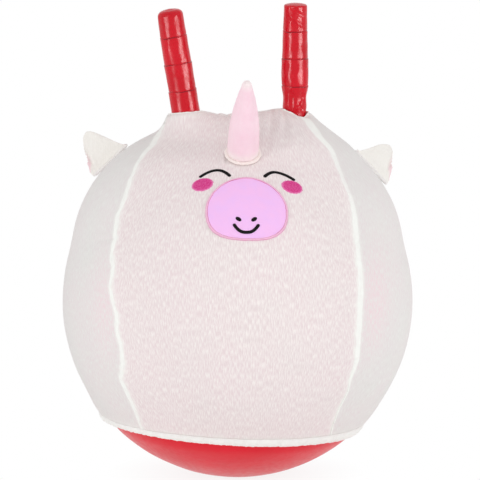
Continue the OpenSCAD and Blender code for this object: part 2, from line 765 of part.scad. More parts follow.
// Height of the ear's edge over its root; u runs along the root from its low end
function ear_outline(side, u) =
    let (tip = ear_tip_share(side),
        rise = u < tip
            ? pow(sin(90 * u / tip), ear_rise_power)
            : pow(cos(90 * (u - tip) / (1 - tip)), ear_fall_power))
    ear_h * mix(ear_min_share, 1, rise);
// Fullness of the stuffed ear, next to none at its sewn edges
function ear_full(u, v) = pow(sin(180 * mix(edge_share, 1 - edge_share, u)) * cos(90 * v * (1 - edge_share)), 0.6);
// How far the ear's middle surface curls forwards
function ear_curl(u, v) = ear_cup * (v * v * (1 - u / 2) + v * pow(1 - u, 2) / 2);

module ear_layer(side, puff, near, far) {
    swell = (ear_t / 2 - ear_skin) * puff;
    at = function(lift) [for (i = [0:ear_steps]) [for (j = [0:ear_steps])
        let (u = j / ear_steps, v = i / ear_steps,
            z = mix(ear_roll_d / 2 + edge_gap, ear_outline(side, u), v))
        [side * (0.5 - u) * ear_root_l, swell * ear_full(u, v) + lift - ear_curl(u, v), z]]];
    at_ear(side) rotate([-ear_lean(side), 0, 0]) shell_between(at(near), at(far), side > 0);
}

module ear_front(side) {
    color("ivory") ear_layer(side, -1, -seat_gap / 2 - ear_skin, -seat_gap / 2);
}
module ear_lining(side) {
    color("pink") ear_layer(side, 1, seat_gap / 2, seat_gap / 2 + ear_skin);
}
module ear_wadding(side) {
    swell = ear_t / 2 - ear_skin;
    at = function(level) [for (i = [0:ear_steps]) [for (j = [0:ear_steps])
        let (u = mix(wadding_in, 1 - wadding_in, j / ear_steps), v = mix(edge_share, 1 - edge_share, i / ear_steps),
            z = mix(ear_roll_d / 2 + edge_gap, ear_outline(side, u), v))
        [side * (0.5 - u) * ear_root_l, level * swell * wadding_full * ear_full(u, v) - ear_curl(u, v), z]]];
    color("white") at_ear(side) rotate([-ear_lean(side), 0, 0]) shell_between(at(-1), at(1), side > 0);
}
module ear_root(side) {
    color("ivory") at_ear(side) rotate([0, 90, 0])
        cylinder(d = ear_roll_d, h = ear_root_l, center = true, $fn = 48);
}

// ---- face

face_mid = toward_lat(face_up, face_turn);
face_up_0 = toward_lat(face_up + 90, face_turn);
face_right_0 = toward_lat(0, face_turn + 90);
face_right = cos(face_roll) * face_right_0 - sin(face_roll) * face_up_0;
face_top = cos(face_roll) * face_up_0 + sin(face_roll) * face_right_0;
function face_dir(p) =
    let (far = norm(p), a = deg(far / skin_r))
    far == 0 ? face_mid : cos(a) * face_mid + sin(a) / far * (p[0] * face_right + p[1] * face_top);
// The plush is made of flat faces, which bridge a hollow: the highest that they come at direction d
function facet_top(d) =
    let (across = unit(cross([0, 0, 1], d)), up = cross(d, across), reach = tan(step * 0.7))
    max([envelope(d), for (a = [0:45:135]) let (way = reach * (cos(a) * across + sin(a) * up))
        (envelope(unit(d + way)) + envelope(unit(d - way))) / 2]);
function on_plush(p, lift) = let (d = face_dir(p)) d * (facet_top(d) + trim_gap + lift);
function turned(p, angle) = [p[0] * cos(angle) - p[1] * sin(angle), p[0] * sin(angle) + p[1] * cos(angle)];

module stitched(low, high) {
    intersection() {
        at_centre() difference() {
            sphere(r = high, $fn = 200);
            sphere(r = low, $fn = 200);
        }
        children();
    }
}

// Outline of the muzzle, drawn in by an inset
function muzzle_outline(inset) =
    [for (a = [0:7.5:359])
        let (power = a < 180 ? 2 : muzzle_lower_power,
            h = (a < 180 ? muzzle_above : muzzle_below) - inset,
            w = muzzle_w / 2 - inset)
        [w * sign(cos(a)) * pow(abs(cos(a)), 2 / power), h * sign(sin(a)) * pow(abs(sin(a)), 2 / power)]];

module muzzle_column(inset) {
    facing(face_up, face_turn, face_roll) translate([0, 0, ball_r / 2])
        linear_extrude(ball_r) polygon(muzzle_outline(inset));
}

module muzzle_patch() {
    color("plum") stitched(plush_r, plush_r + patch_t) muzzle_column(edging_w + trim_gap);
}

module muzzle_edging() {
    color("hotpink") stitched(plush_r, plush_r + patch_t + edging_proud) difference() {
        muzzle_column(0);
        muzzle_column(edging_w);
    }
}

// An embroidered line along an arc with round ends: span between its ends, arch high, ends level
module arc_line(span, arch, width) {
    r = (span * span / 4 + arch * arch) / (2 * arch);
    half = asin(span / 2 / r);
    stretch = function(radius, way) [for (i = [-way * arc_steps:way:way * arc_steps])
        radius * [sin(half * i / arc_steps), cos(half * i / arc_steps)]];
    cap = function(side) [for (a = [15:15:165]) let (turn = side * (90 - half) - a)
        r * [side * sin(half), cos(half)] + width / 2 * [cos(turn), sin(turn)]];
    translate([0, arch - r])
        polygon(concat(stretch(r + width / 2, 1), cap(1), stretch(r - width / 2, -1), cap(-1)));
}

module embroidered(low, across, up, turn = 0) {
    stitched(low, low + stitch_t) on_face(across, up) rotate([0, 0, turn])
        translate([0, 0, ball_r / 2]) linear_extrude(ball_r) children();
}

// An eye's stitched line, swept over the plush from end to end
module eye(side) {
    r = (eye_span * eye_span / 4 + eye_arch * eye_arch) / (2 * eye_arch);
    half = asin(eye_span / 2 / r);
    end = deg(eye_line / 2 / r);
    place = [side * eye_out, eye_rise];
    ring = function(a, share) [for (p = [[-1, 0], [-eye_top_share, 1], [eye_top_share, 1], [1, 0]])
        on_plush(place + turned([0, eye_arch - r] + (r + p[0] * share * eye_line / 2) * [sin(a), cos(a)],
            side * eye_tilt), p[1] * stitch_t)];
    color("black") at_centre() swept(concat(
        [ring(-half - end, eye_end_share)],
        [for (i = [-arc_steps:arc_steps]) ring(half * i / arc_steps, 1)],
        [ring(half + end, eye_end_share)]));
}

module cheek(side) {
    at = function(lift) [for (i = [-cheek_steps:cheek_steps]) let (v = sin(90 * edge_in * i / cheek_steps))
        [for (j = [-cheek_steps:cheek_steps])
            on_plush([side * cheek_out, cheek_rise] + turned([cheek_l / 2 * sqrt(1 - v * v)
                * sin(90 * j / cheek_steps), cheek_h / 2 * v], -side * cheek_tilt), lift)]];
    color("deeppink") at_centre() shell_between(at(stitch_t), at(0));
}

module nostrils() {
    color("black") for (side = [-1, 1])
        embroidered(patch_r, side * nostril_out, -nostril_drop, side * nostril_tilt)
            polygon([for (a = [0:15:359]) [nostril_l / 2 * cos(a), nostril_w / 2 * sin(a)]]);
}

module mouth() {
    color("black") embroidered(patch_r, 0, -mouth_drop, 180)
        arc_line(mouth_span, mouth_arch, mouth_line);
}

ball_shell();
handle(-1);  // left_handle
handle(1);  // right_handle
valve_seat();
valve_plug();
front_panel();
back_panel();
left_panel();
right_panel();
seam(-1);  // front_left_seam
seam(1);  // front_right_seam
mirror([0, 1, 0]) seam(-1);  // back_left_seam
mirror([0, 1, 0]) seam(1);  // back_right_seam
crown_seam();
hem_casing();
hem_elastic();
collar(-1);  // left_collar
collar(1);  // right_collar
collar_elastic(-1);  // left_collar_elastic
collar_elastic(1);  // right_collar_elastic
horn_skin();
horn_stuffing();
horn_ring();
ear_front(-1);  // left_ear_front
ear_lining(-1);  // left_ear_lining
ear_wadding(-1);  // left_ear_wadding
ear_root(-1);  // left_ear_root
ear_front(1);  // right_ear_front
ear_lining(1);  // right_ear_lining
ear_wadding(1);  // right_ear_wadding
ear_root(1);  // right_ear_root
muzzle_patch();
muzzle_edging();
nostrils();
mouth();
eye(-1);  // left_eye
eye(1);  // right_eye
cheek(-1);  // left_cheek
cheek(1);  // right_cheek
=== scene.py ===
"""Looks of a hopper ball in a plush animal cover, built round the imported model.

Shapes are worked out in millimetres from the middle of the ball, with +Z up and the face
towards -Y, and are put into metres in the part's frame as each piece is finished.
"""

import logging
import math
from collections.abc import Callable, Sequence
from dataclasses import dataclass, field
from enum import Enum
from functools import cached_property, partial

import bmesh
import bpy
import numpy as np
from mathutils import Matrix, Vector


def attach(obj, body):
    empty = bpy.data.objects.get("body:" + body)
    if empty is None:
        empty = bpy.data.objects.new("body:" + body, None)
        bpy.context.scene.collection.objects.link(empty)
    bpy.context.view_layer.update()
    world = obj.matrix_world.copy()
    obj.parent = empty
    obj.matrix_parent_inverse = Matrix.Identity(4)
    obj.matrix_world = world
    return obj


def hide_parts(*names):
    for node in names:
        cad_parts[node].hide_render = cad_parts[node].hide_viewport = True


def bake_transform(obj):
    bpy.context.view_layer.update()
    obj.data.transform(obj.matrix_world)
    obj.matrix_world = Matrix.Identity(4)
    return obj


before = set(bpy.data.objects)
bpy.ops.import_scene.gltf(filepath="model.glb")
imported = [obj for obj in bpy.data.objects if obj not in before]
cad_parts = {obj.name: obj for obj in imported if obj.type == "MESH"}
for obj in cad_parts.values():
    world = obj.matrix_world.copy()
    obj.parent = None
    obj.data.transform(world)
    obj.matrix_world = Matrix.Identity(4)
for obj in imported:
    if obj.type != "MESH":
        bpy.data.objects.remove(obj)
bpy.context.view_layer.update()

log = logging.getLogger("hopper_ball")

Points = np.ndarray
Turn = np.ndarray
Pair = tuple[float, float]
Triple = tuple[float, float, float]
Colour = tuple[int, int, int]
Place = Callable[[Points, Points], Points]
Route = Callable[[Points], Points]
Mesh = bmesh.types.BMesh
Piece = bpy.types.Object
Finish = bpy.types.Material
Socket = bpy.types.NodeSocket
MM = 0.001
ROUND = 2 * math.pi  # once round, in radians
UP = np.array([0.0, 0.0, 1.0])
REARWARD = np.array([1, -1, 1])  # takes a direction at the front to its like at the back
PIXEL = 1.3018  # millimetres to one pixel of the photograph
PHOTO_MIDDLE = (237.5, 300.5)  # where the photograph shows the middle of the ball
PHOTO_TILT = 10.0  # how far the photograph looks down, in degrees
MERGE = 0.002  # points nearer to each other than this are one, in millimetres
CUT_DEPTH = 60.0  # how far under an opening's plane the cloth is still cut, in millimetres


class Side(Enum):
    """A side of the face, as someone who looks at it sees it."""

    LEFT = -1
    RIGHT = 1

    @property
    def word(self) -> str:
        """The side's name as node names have it."""
        return self.name.lower()

    @property
    def place(self) -> int:
        """Where a pair that has one value for each side keeps this side's."""
        return 0 if self is Side.LEFT else 1


class Follow(Enum):
    """What a finish's pattern follows."""

    CLOTH = "UV"
    SPACE = "Object"


def mix(a: Points | float, b: Points | float, share: Points | float) -> Points | float:
    """Goes from a to b by share."""
    return a + (b - a) * share


def ramp(x: Points | float, low: float, high: float) -> Points | float:
    """Rises smoothly from 0 at low to 1 at high."""
    t = np.clip((x - low) / (high - low), 0.0, 1.0)
    return t * t * (3 - 2 * t)


def unit(v: Points) -> Points:
    """Vectors of length one."""
    return v / np.linalg.norm(v, axis=-1, keepdims=True)


def stack(*parts: Points) -> Points:
    """Points put together from their parts along each axis."""
    return np.stack(parts, axis=-1)


def bump(x: Points, width: Points | float) -> Points:
    """A smooth hill, 1 at zero and flat again some widths away."""
    return np.exp(-((x / width) ** 2))


def rounded(x: Points, power: Points | float) -> Points:
    """Shares from -1 to 1 raised to a power, with their signs kept."""
    return np.sign(x) * np.abs(x) ** power


def toward(beta: Points | float, lam: Points | float) -> Points:
    """Directions that climb by beta from the front over the crown and turn by lam to +X.

    Args:
        beta: degrees from the front, 90 at the crown.
        lam: degrees towards +X.

    Returns:
        One unit vector for each pair.
    """
    b, s = np.radians(beta), np.radians(lam)
    return stack(np.sin(s) + 0 * b, -np.cos(s) * np.cos(b), np.cos(s) * np.sin(b))


def toward_lat(lat: Points | float, az: Points | float) -> Points:
    """Directions by degrees above the middle of the ball and from the front towards +X."""
    a, t = np.radians(az), np.radians(lat)
    return stack(np.cos(t) * np.sin(a), -np.cos(t) * np.cos(a), np.sin(t) + 0 * a)


def about(axis: str, degrees: float) -> Turn:
    """A turn about an axis, as a 3 by 3 matrix."""
    return np.array(Matrix.Rotation(math.radians(degrees), 3, axis))


def climb_of(d: Points) -> Points:
    """Degrees that directions climb from the front or the back, 90 at the crown."""
    return np.degrees(np.arctan2(d[..., 2], np.abs(d[..., 1])))


def degrees_off(d: Points, p: Points) -> Points:
    """Degrees between directions and the way to a point."""
    return np.degrees(np.arccos(np.clip(d @ p / np.linalg.norm(p), -1, 1)))


def smoothed(values: Points, reach: int) -> Points:
    """Values evened out over as many neighbours on each side as reach says."""
    kernel = np.hanning(2 * reach + 1)
    return np.convolve(np.pad(values, reach, mode="edge"), kernel / kernel.sum(), mode="valid")


def photo_chart(p: Points) -> tuple[Points, Points]:
    """Where points lie in the photograph, in its pixels.

    Args:
        p: points in millimetres from the middle of the ball.

    Returns:
        The pixels across and down.
    """
    t = math.radians(PHOTO_TILT)
    up = p[..., 1] * math.sin(t) + p[..., 2] * math.cos(t)
    return PHOTO_MIDDLE[0] + p[..., 0] / PIXEL, PHOTO_MIDDLE[1] - up / PIXEL


@dataclass(frozen=True)
class SoftNoise:
    """A smooth random field, made of waves in many directions."""

    size: float
    seed: int
    waves: int = 28

    def at(self, p: Points) -> Points:
        """The field at some points.

        Args:
            p: points in millimetres.

        Returns:
            A value near -1 to 1 for each point.
        """
        chance = np.random.default_rng(self.seed)
        ways = unit(chance.normal(size=(self.waves, p.shape[-1])))
        pitch = chance.uniform(0.6, 1.5, self.waves) * ROUND / self.size
        turn = chance.uniform(0, ROUND, self.waves)
        total = np.zeros(p.shape[:-1])
        for way, k, start in zip(ways, pitch, turn):
            total += np.sin(p @ way * k + start)
        return total / math.sqrt(self.waves) * 0.7


@dataclass(frozen=True)
class Crease:
    """A fold in soft material, between two places on a flat chart of it."""

    start: Pair
    end: Pair
    rise: float
    width: float

    def at(self, x: Points, y: Points) -> Points:
        """How far the fold lifts the material.

        Args:
            x: places across the chart.
            y: places along it.

        Returns:
            The lift at each place, below zero in a valley.
        """
        dx, dy = self.end[0] - self.start[0], self.end[1] - self.start[1]
        t = np.clip(((x - self.start[0]) * dx + (y - self.start[1]) * dy) / (dx * dx + dy * dy), 0, 1)
        off = np.hypot(x - self.start[0] - t * dx, y - self.start[1] - t * dy)
        return self.rise * bump(off, self.width) * (1 - np.abs(2 * t - 1) ** 3)


@dataclass(frozen=True)
class Blush:
    """A pink cloud in the plush, by its place in the photograph, in pixels."""

    place: Pair
    size: Pair
    share: float

    def at(self, x: Points, y: Points) -> Points:
        """How pink it is at some places in the photograph."""
        return self.share * bump(x - self.place[0], self.size[0]) * bump(y - self.place[1], self.size[1])


@dataclass(frozen=True)
class BallForm:
    """Sizes of the inflated ball, in millimetres and degrees."""

    diameter: float = 450.0
    foot: float = 64.0
    bulge: float = 5.0
    bulge_slope: float = 2.7
    shoulder_offset: float = 78.0
    shoulder_swell: float = 18.2
    shoulder_angle: float = 38.0
    handle_spacing: float = 140.6
    root_rise: float = 24.5
    root_shifts: Pair = (3.0, 3.7)
    valve_down: float = 60.0
    valve_hole: float = 11.1
    hem_down: float = 41.0
    hem_tilt: float = 2.5
    hem_width: float = 20.0

    @property
    def radius(self) -> float:
        """Radius of the round of the ball."""
        return self.diameter / 2

    @property
    def centre_height(self) -> float:
        """Height of the ball's middle over the floor."""
        return self.bulge + math.sqrt(self.radius**2 - (self.foot / 2) ** 2)

    @property
    def hem_half_angle(self) -> float:
        """Half the hem's width, in degrees round the ball."""
        return math.degrees(self.hem_width / 2 / self.radius)

    @property
    def hem_axis(self) -> Points:
        """The way that the hem's tilted plane faces."""
        t = math.radians(self.hem_tilt)
        return np.array([math.sin(t), 0.0, math.cos(t)])

    def below(self, d: Points) -> Points:
        """Degrees that directions point below the hem's tilted plane."""
        return -np.degrees(np.arcsin(np.clip(d @ self.hem_axis, -1, 1)))

    def root(self, side: Side) -> Points:
        """The middle of a handle's root."""
        shift = self.root_shifts[side.place]
        return np.array([side.value * self.handle_spacing / 2 + shift, 0.0, self.radius + self.root_rise])

    def shoulder(self, d: Points, side: Side, grow: float = 0.0) -> Points:
        """How far a shoulder reaches along directions.

        Args:
            d: unit vectors.
            side: the shoulder.
            grow: how far outside the shoulder.

        Returns:
            The reach, or 0 where the direction misses it.
        """
        a = math.radians(self.shoulder_angle)
        c = self.shoulder_offset * np.array([side.value * math.sin(a), 0.0, math.cos(a)])
        along = d @ c
        size = self.radius + self.shoulder_swell - self.shoulder_offset + grow
        inside = size**2 - c @ c + along**2
        return np.where(inside > 0, along + np.sqrt(np.maximum(inside, 0)), 0.0)

    def reach(self, d: Points) -> Points:
        """How far the bare ball reaches along directions, with its bulging end.

        Args:
            d: unit vectors.

        Returns:
            Millimetres from the middle of the ball.
        """
        both = np.maximum(self.shoulder(d, Side.LEFT), self.shoulder(d, Side.RIGHT))
        run = math.degrees(self.bulge_slope * self.bulge / self.radius)
        start = self.hem_down + 2 * self.hem_half_angle
        down = self.below(d)
        fall = -self.bulge * d[..., 2]
        low = fall + np.sqrt(np.maximum(self.radius**2 - self.bulge**2 + fall**2, 0))
        return mix(np.maximum(both, self.radius), low, ramp(down, start - run, start + run))


@dataclass(frozen=True)
class CoverForm:
    """Shape of the plush cover over the ball, its seams and its folds."""

    ball: BallForm = BallForm()
    thickness: float = 1.8
    gap: float = 1.0
    saddle_rise: float = 18.8
    saddle_width: float = 24.0
    saddle_power: float = 6.0
    blend_share: float = 0.02
    flares: tuple[Pair, Pair] = ((2.8, 1.25), (6.6, 1.0))
    flare_end: Pair = (14.0, 24.0)
    panel_half: float = 44.3
    panel_taper: float = 13.0
    crest: float = 15.0
    hem_guess: float = 54.0
    seat_gap: float = 0.35
    edge_gap: float = 0.4
    collar_thickness: float = 3.0
    collar_height: float = 7.0
    opening_leans: Pair = (5.0, 6.5)
    opening_tips: Pair = (9.0, 8.0)
    opening_drops: Pair = (2.1, -0.8)
    rim_dips: Pair = (0.0, 8.4)
    rim_dip_widths: Pair = (54.0, 27.0)
    rim_dip_at: float = 39.0
    handle_leans: Pair = (9.0, 0.5)
    root_widths: Pair = (37.0, 31.0)
    waves: SoftNoise = SoftNoise(70.0, 4)
    dimples: SoftNoise = SoftNoise(17.0, 9)
    hem_slack: Triple = (1.2, 3.4, 1.9)
    front_seams: tuple[tuple[Pair, ...], ...] = (
        ((176, 116), (168.4, 131.6), (153, 145.4), (142, 157.7), (133, 176), (125.5, 199), (117.9, 217.4),
         (115.6, 240), (112.5, 255), (114.5, 267.6), (111.4, 286), (114, 301), (117.6, 313.5), (118.6, 332),
         (122.5, 347), (124, 362), (121.7, 378), (130, 396), (137.8, 413), (144.6, 430)),
        ((305.8, 122.5), (319.6, 137.8), (331.8, 151.5), (338, 168.4), (344, 183.7), (350.2, 199),
         (353.3, 214.3), (355.6, 240), (357.9, 260), (359.4, 286), (358.6, 309), (357.1, 339.5),
         (355.6, 359.4), (349.4, 377.8), (347, 390), (338, 408.4), (331.8, 423.7), (328.8, 436)),
    )
    folds: tuple[Crease, ...] = (
        Crease((277.5, 104), (270, 131), -3.2, 2.0),
        Crease((273, 104), (264, 130), 1.6, 2.2),
        Crease((284, 106), (286, 126), -2.2, 1.6),
        Crease((281, 106), (278, 134), 1.6, 1.9),
        Crease((268, 108), (258, 132), -1.2, 1.9),
        Crease((271, 128), (264, 156), -0.7, 3.0),
        Crease((284, 122), (283, 152), -0.8, 2.6),
        Crease((291, 118), (294, 158), 0.8, 2.4),
        Crease((297, 120), (303, 162), -0.8, 2.2),
        Crease((304, 126), (315, 168), -0.7, 2.4),
        Crease((196, 108), (207, 134), -0.7, 2.2),
        Crease((186, 116), (178, 142), -0.7, 2.4),
        Crease((226, 150), (226.3, 169), -1.5, 1.1),
        Crease((222, 152), (216, 170), -0.8, 1.3),
        Crease((224.3, 151), (223, 168), 0.7, 1.0),
        Crease((116, 239), (96, 241), -1.3, 1.5),
        Crease((117, 235), (98, 236), 0.6, 2.0),
        Crease((146, 157), (132, 160), -0.8, 1.8),
        Crease((143, 164), (126, 168), 0.5, 2.0),
        Crease((308, 392), (306, 420), 0.7, 0.9),
        Crease((202, 430), (226, 434), -0.7, 1.6),
        Crease((284, 428), (306, 431), -0.5, 1.5),
        Crease((208, 426), (224, 429), 0.5, 1.8),
        Crease((345, 179), (364, 183), 0.8, 1.2),
        Crease((350, 376), (373, 383), 0.6, 1.1),
        Crease((100, 312), (84, 316), 0.4, 1.6),
    )
    blushes: tuple[Blush, ...] = (
        Blush((374, 298), (14, 48), 1.0),
        Blush((106, 300), (14, 60), 0.8),
    )

    @property
    def skin(self) -> float:
        """Radius of the plush's outer face where the ball is round."""
        return self.ball.radius + self.gap + self.thickness

    def opening(self, side: Side) -> tuple[Points, Points]:
        """The middle of a handle's opening in the cover and the way that it faces."""
        down = self.opening_drops[side.place] * self.handle_turn(side) @ UP
        return self.ball.root(side) - down, self.opening_turn(side) @ UP

    def on_opening(self, d: Points, side: Side) -> tuple[Points, Points]:
        """How far directions reach to an opening's plane, and where they meet it, from its middle."""
        root, n = self.opening(side)
        flat = (n @ root) / np.maximum(d @ n, 0.2)
        return flat, d * flat[..., None] - root

    def handle_turn(self, side: Side) -> Turn:
        """The turn of a handle, which leans outwards."""
        return about("Y", side.value * self.handle_leans[side.place])

    def opening_turn(self, side: Side) -> Turn:
        """The turn of an opening's plane, which leans outwards and tips a little to the back."""
        lean, tip = self.opening_leans[side.place], self.opening_tips[side.place]
        return about("Y", side.value * lean) @ about("X", -tip)

    def rim_dip(self, side: Side, across: Points, deep: Points) -> Points:
        """How far the opening's rim hangs down.

        Args:
            side: the opening.
            across: places beside its middle, towards +X.
            deep: places behind its middle, towards +Y.

        Returns:
            Millimetres down at each place, fading out round the opening.
        """
        turn = np.degrees(np.arctan2(across, -deep)) - self.rim_dip_at
        turn = (turn + 180) % 360 - 180
        out = np.maximum(np.hypot(across, deep) - self.hole(side), 0)
        wide = np.where(turn < 0, *self.rim_dip_widths)
        return self.rim_dips[side.place] * bump(turn, wide) * np.exp(-out / 9)

    def collar_inner(self, side: Side) -> float:
        """Inside radius of the band round a handle."""
        cant = math.acos(self.handle_turn(side) @ UP @ (self.opening_turn(side) @ UP))
        half = self.root_widths[side.place] / 2
        return half / math.cos(cant) + self.collar_height * math.sin(cant) / 2 + self.seat_gap

    def hole(self, side: Side) -> float:
        """Radius of the opening for a handle."""
        return self.collar_inner(side) + self.collar_thickness + self.edge_gap

    def tent(self, d: Points) -> Points:
        """How far the cloth that spans from handle to handle reaches along directions."""
        high = self.ball.radius + self.gap + self.saddle_rise
        left, right = (self.inner_end(side) for side in Side)
        best = np.full(d.shape[:-1], self.skin)
        for u in np.arange(-1, 1.01, 0.25):
            for v in (-0.5, 0.0, 0.5):
                rise = mix(high, (left if u < 0 else right)[2], abs(u) ** self.saddle_power)
                p = np.array([mix(left[0], right[0], (u + 1) / 2), v * self.saddle_width, rise])
                away = degrees_off(d, p)
                touch = math.degrees(math.acos(self.skin / np.linalg.norm(p)))
                span = self.skin / np.cos(np.radians(touch - away))
                best = np.maximum(best, np.where(away < touch, span, self.skin))
        return best

    def inner_end(self, side: Side) -> Points:
        """The place at a handle's root that is nearest to the other handle."""
        return self.opening(side)[0] - np.array([side.value * self.root_widths[side.place] / 2, 0, 0])

    def reach(self, d: Points) -> Points:
        """How far the plush's outer face reaches along directions, without its folds.

        Args:
            d: unit vectors.

        Returns:
            Millimetres from the middle of the ball.
        """
        grow = self.gap + self.thickness
        soft = self.ball.radius * self.blend_share
        left, right = (self.ball.shoulder(d, side, grow) for side in Side)
        over = np.maximum(left, right) - self.skin
        over = np.where(over > soft, over, np.where(over < -soft, 0.0, (over + soft) ** 2 / (4 * soft)))
        whole = self.skin + (over**4 + (self.tent(d) - self.skin) ** 4) ** 0.25
        for side in Side:
            root, (angle, power) = self.opening(side)[0], self.flares[side.place]
            away = degrees_off(d, root) - math.degrees(self.hole(side) / np.linalg.norm(root))
            share = np.exp(-((np.maximum(0, away) / angle) ** power)) * (1 - ramp(away, *self.flare_end))
            share = np.where(d[..., 0] * side.value > 0, share, 0.0)
            flat, p = self.on_opening(d, side)
            flat = flat - self.rim_dip(side, p[..., 0], p[..., 1])
            whole = np.where(share > 0.0004, mix(whole, flat, share), whole)
        return whole

    def seam_lambda(self, beta: Points | float) -> Points:
        """The straight run of an upright seam, as degrees towards its side for a given climb."""
        b = np.asarray(beta, float)
        low = self.panel_half - self.panel_taper * ((self.crest - b) / (self.crest + self.hem_guess)) ** 2
        root = math.degrees(math.atan2(self.ball.handle_spacing / 2, self.ball.radius + self.ball.root_rise))
        high = mix(self.panel_half, root, ((b - self.crest) / (90 - self.crest)) ** 2)
        return np.where(b < self.crest, low, high)

    def seen_at(self, marks: Points) -> Points:
        """Directions in which the smooth cover shows at some pixels of the photograph."""
        t = math.radians(PHOTO_TILT)
        x, up = (marks[:, 0] - PHOTO_MIDDLE[0]) * PIXEL, (PHOTO_MIDDLE[1] - marks[:, 1]) * PIXEL
        reach = np.full(len(marks), self.skin)
        for _ in range(12):
            near = np.sqrt(np.maximum(reach**2 - x**2 - up**2, 1.0))
            p = stack(x, up * math.sin(t) - near * math.cos(t), up * math.cos(t) + near * math.sin(t))
            reach = self.reach(unit(p))
        return unit(p)

    @cached_property
    def crooked_front(self) -> list[tuple[Points, Points]]:
        """How far each front seam is sewn off its straight run, in degrees by climb."""
        runs = []
        for side in Side:
            d = self.seen_at(np.array(self.front_seams[side.place], float))
            beta, lam = np.degrees(np.arctan2(d[:, 2], -d[:, 1])), np.degrees(np.arcsin(side.value * d[:, 0]))
            order = np.argsort(beta)
            fine = np.arange(-60.0, 95.0, 0.25)
            off = np.interp(fine, beta[order], (lam - self.seam_lambda(beta))[order])
            runs.append((fine, smoothed(off, 5) * (1 - 0.5 * ramp(fine, 86, 90))))
        return runs

    def seam_run(self, beta: Points | float, side: Side, rear: bool) -> Points:
        """The same run as it is sewn, a little crooked."""
        b = np.asarray(beta, float)
        start = 1.7 * side.value + (2.3 if rear else 0.0)
        fine = 0.05 * np.sin(b / 0.7 + start)
        if not rear:
            return self.seam_lambda(b) + np.interp(b, *self.crooked_front[side.place]) + fine
        crooked = 0.24 * np.sin(b / 4.3 + start) + 0.16 * np.sin(b / 1.9 + 2 * start) + fine
        return self.seam_lambda(b) + crooked * ramp(b, -52, -44) * (1 - ramp(b, 66, 82))

    def hem_beta(self, lam: Points | float, down: float) -> Points:
        """The climb at which the hem's line lies for a given turn."""
        s, t = np.radians(lam), math.radians(self.ball.hem_tilt)
        x = (-math.sin(math.radians(down)) - np.sin(s) * math.sin(t)) / (np.cos(s) * math.cos(t))
        return np.degrees(np.arcsin(np.clip(x, -1, 1)))

    def hem_start(self, share: Points | float, down: float) -> Points:
        """The climb at which a front panel starts, from one seam at -1 to the other at 1."""
        lam = np.zeros_like(np.asarray(share, float))
        for _ in range(8):
            lam = share * self.seam_lambda(self.hem_beta(lam, down))
        return self.hem_beta(lam, down)

    def hem_lat(self, az: Points, down: float) -> Points:
        """Degrees above the middle of the ball at which the hem lies."""
        t = math.radians(self.ball.hem_tilt)
        a, b = math.cos(t), np.sin(np.radians(az)) * math.sin(t)
        fall = np.arcsin(math.sin(math.radians(down)) / np.hypot(a, b))
        return -np.degrees(fall) - np.degrees(np.arctan2(b, a))

    def seam_distance(self, d: Points) -> Points:
        """Millimetres over the plush to the nearest upright seam."""
        beta = climb_of(d)
        lam = np.degrees(np.arcsin(np.clip(d[..., 0], -1, 1)))
        runs = [[side.value * self.seam_run(beta, side, rear) for side in Side] for rear in (False, True)]
        front, back = (np.where(lam < 0, left, right) for left, right in runs)
        return np.radians(np.abs(lam - np.where(d[..., 1] < 0, front, back))) * self.skin

    def slack(self, d: Points) -> Points:
        """How far the hem stands off the ball, most at both sides, where the cover hangs loose."""
        around, left, right = self.hem_slack
        az = np.degrees(np.arctan2(d[..., 0], -d[..., 1]))
        return around + left * bump(az + 88, 42) + right * bump(az - 88, 42)

    def relief(self, d: Points, reach: Points) -> Points:
        """How far the folds, the puckers at the seams and the slack lift the plush.

        Args:
            d: unit vectors.
            reach: how far the smooth plush reaches along them.

        Returns:
            Millimetres outwards.
        """
        p = d * reach[..., None]
        x, y = photo_chart(p)
        front = ramp(-d[..., 1], 0.0, 0.12)
        lift = sum(fold.at(x, y) for fold in self.folds) * front
        near = bump(self.seam_distance(d), 13)
        squeezed = p * np.array([0.45, 0.45, 1.0])
        lift = lift + 0.30 * self.waves.at(p) + 0.34 * near * self.dimples.at(squeezed)
        down = self.ball.below(d)
        lift = lift + 0.8 * self.slack(d) * ramp(down, self.ball.hem_down - 11, self.ball.hem_down + 1)
        return lift - 0.55 * bump(self.seam_distance(d), 2.6)

    def surface(self, d: Points) -> Points:
        """How far the plush reaches along directions, with its folds."""
        reach = self.reach(d)
        return reach + self.relief(d, reach)

    def point_at(self, d: Points, lift: Points | float = 0.0) -> Points:
        """Points on the plush along directions, lifted off it by some millimetres."""
        return d * (self.surface(d) + lift)[..., None]


def srgb(colour: Colour) -> tuple[float, float, float, float]:
    """A screen colour of 0 to 255 as a linear colour for a socket."""
    part = [c / 255 for c in colour]
    return tuple([c / 12.92 if c <= 0.04045 else ((c + 0.055) / 1.055) ** 2.4 for c in part] + [1.0])


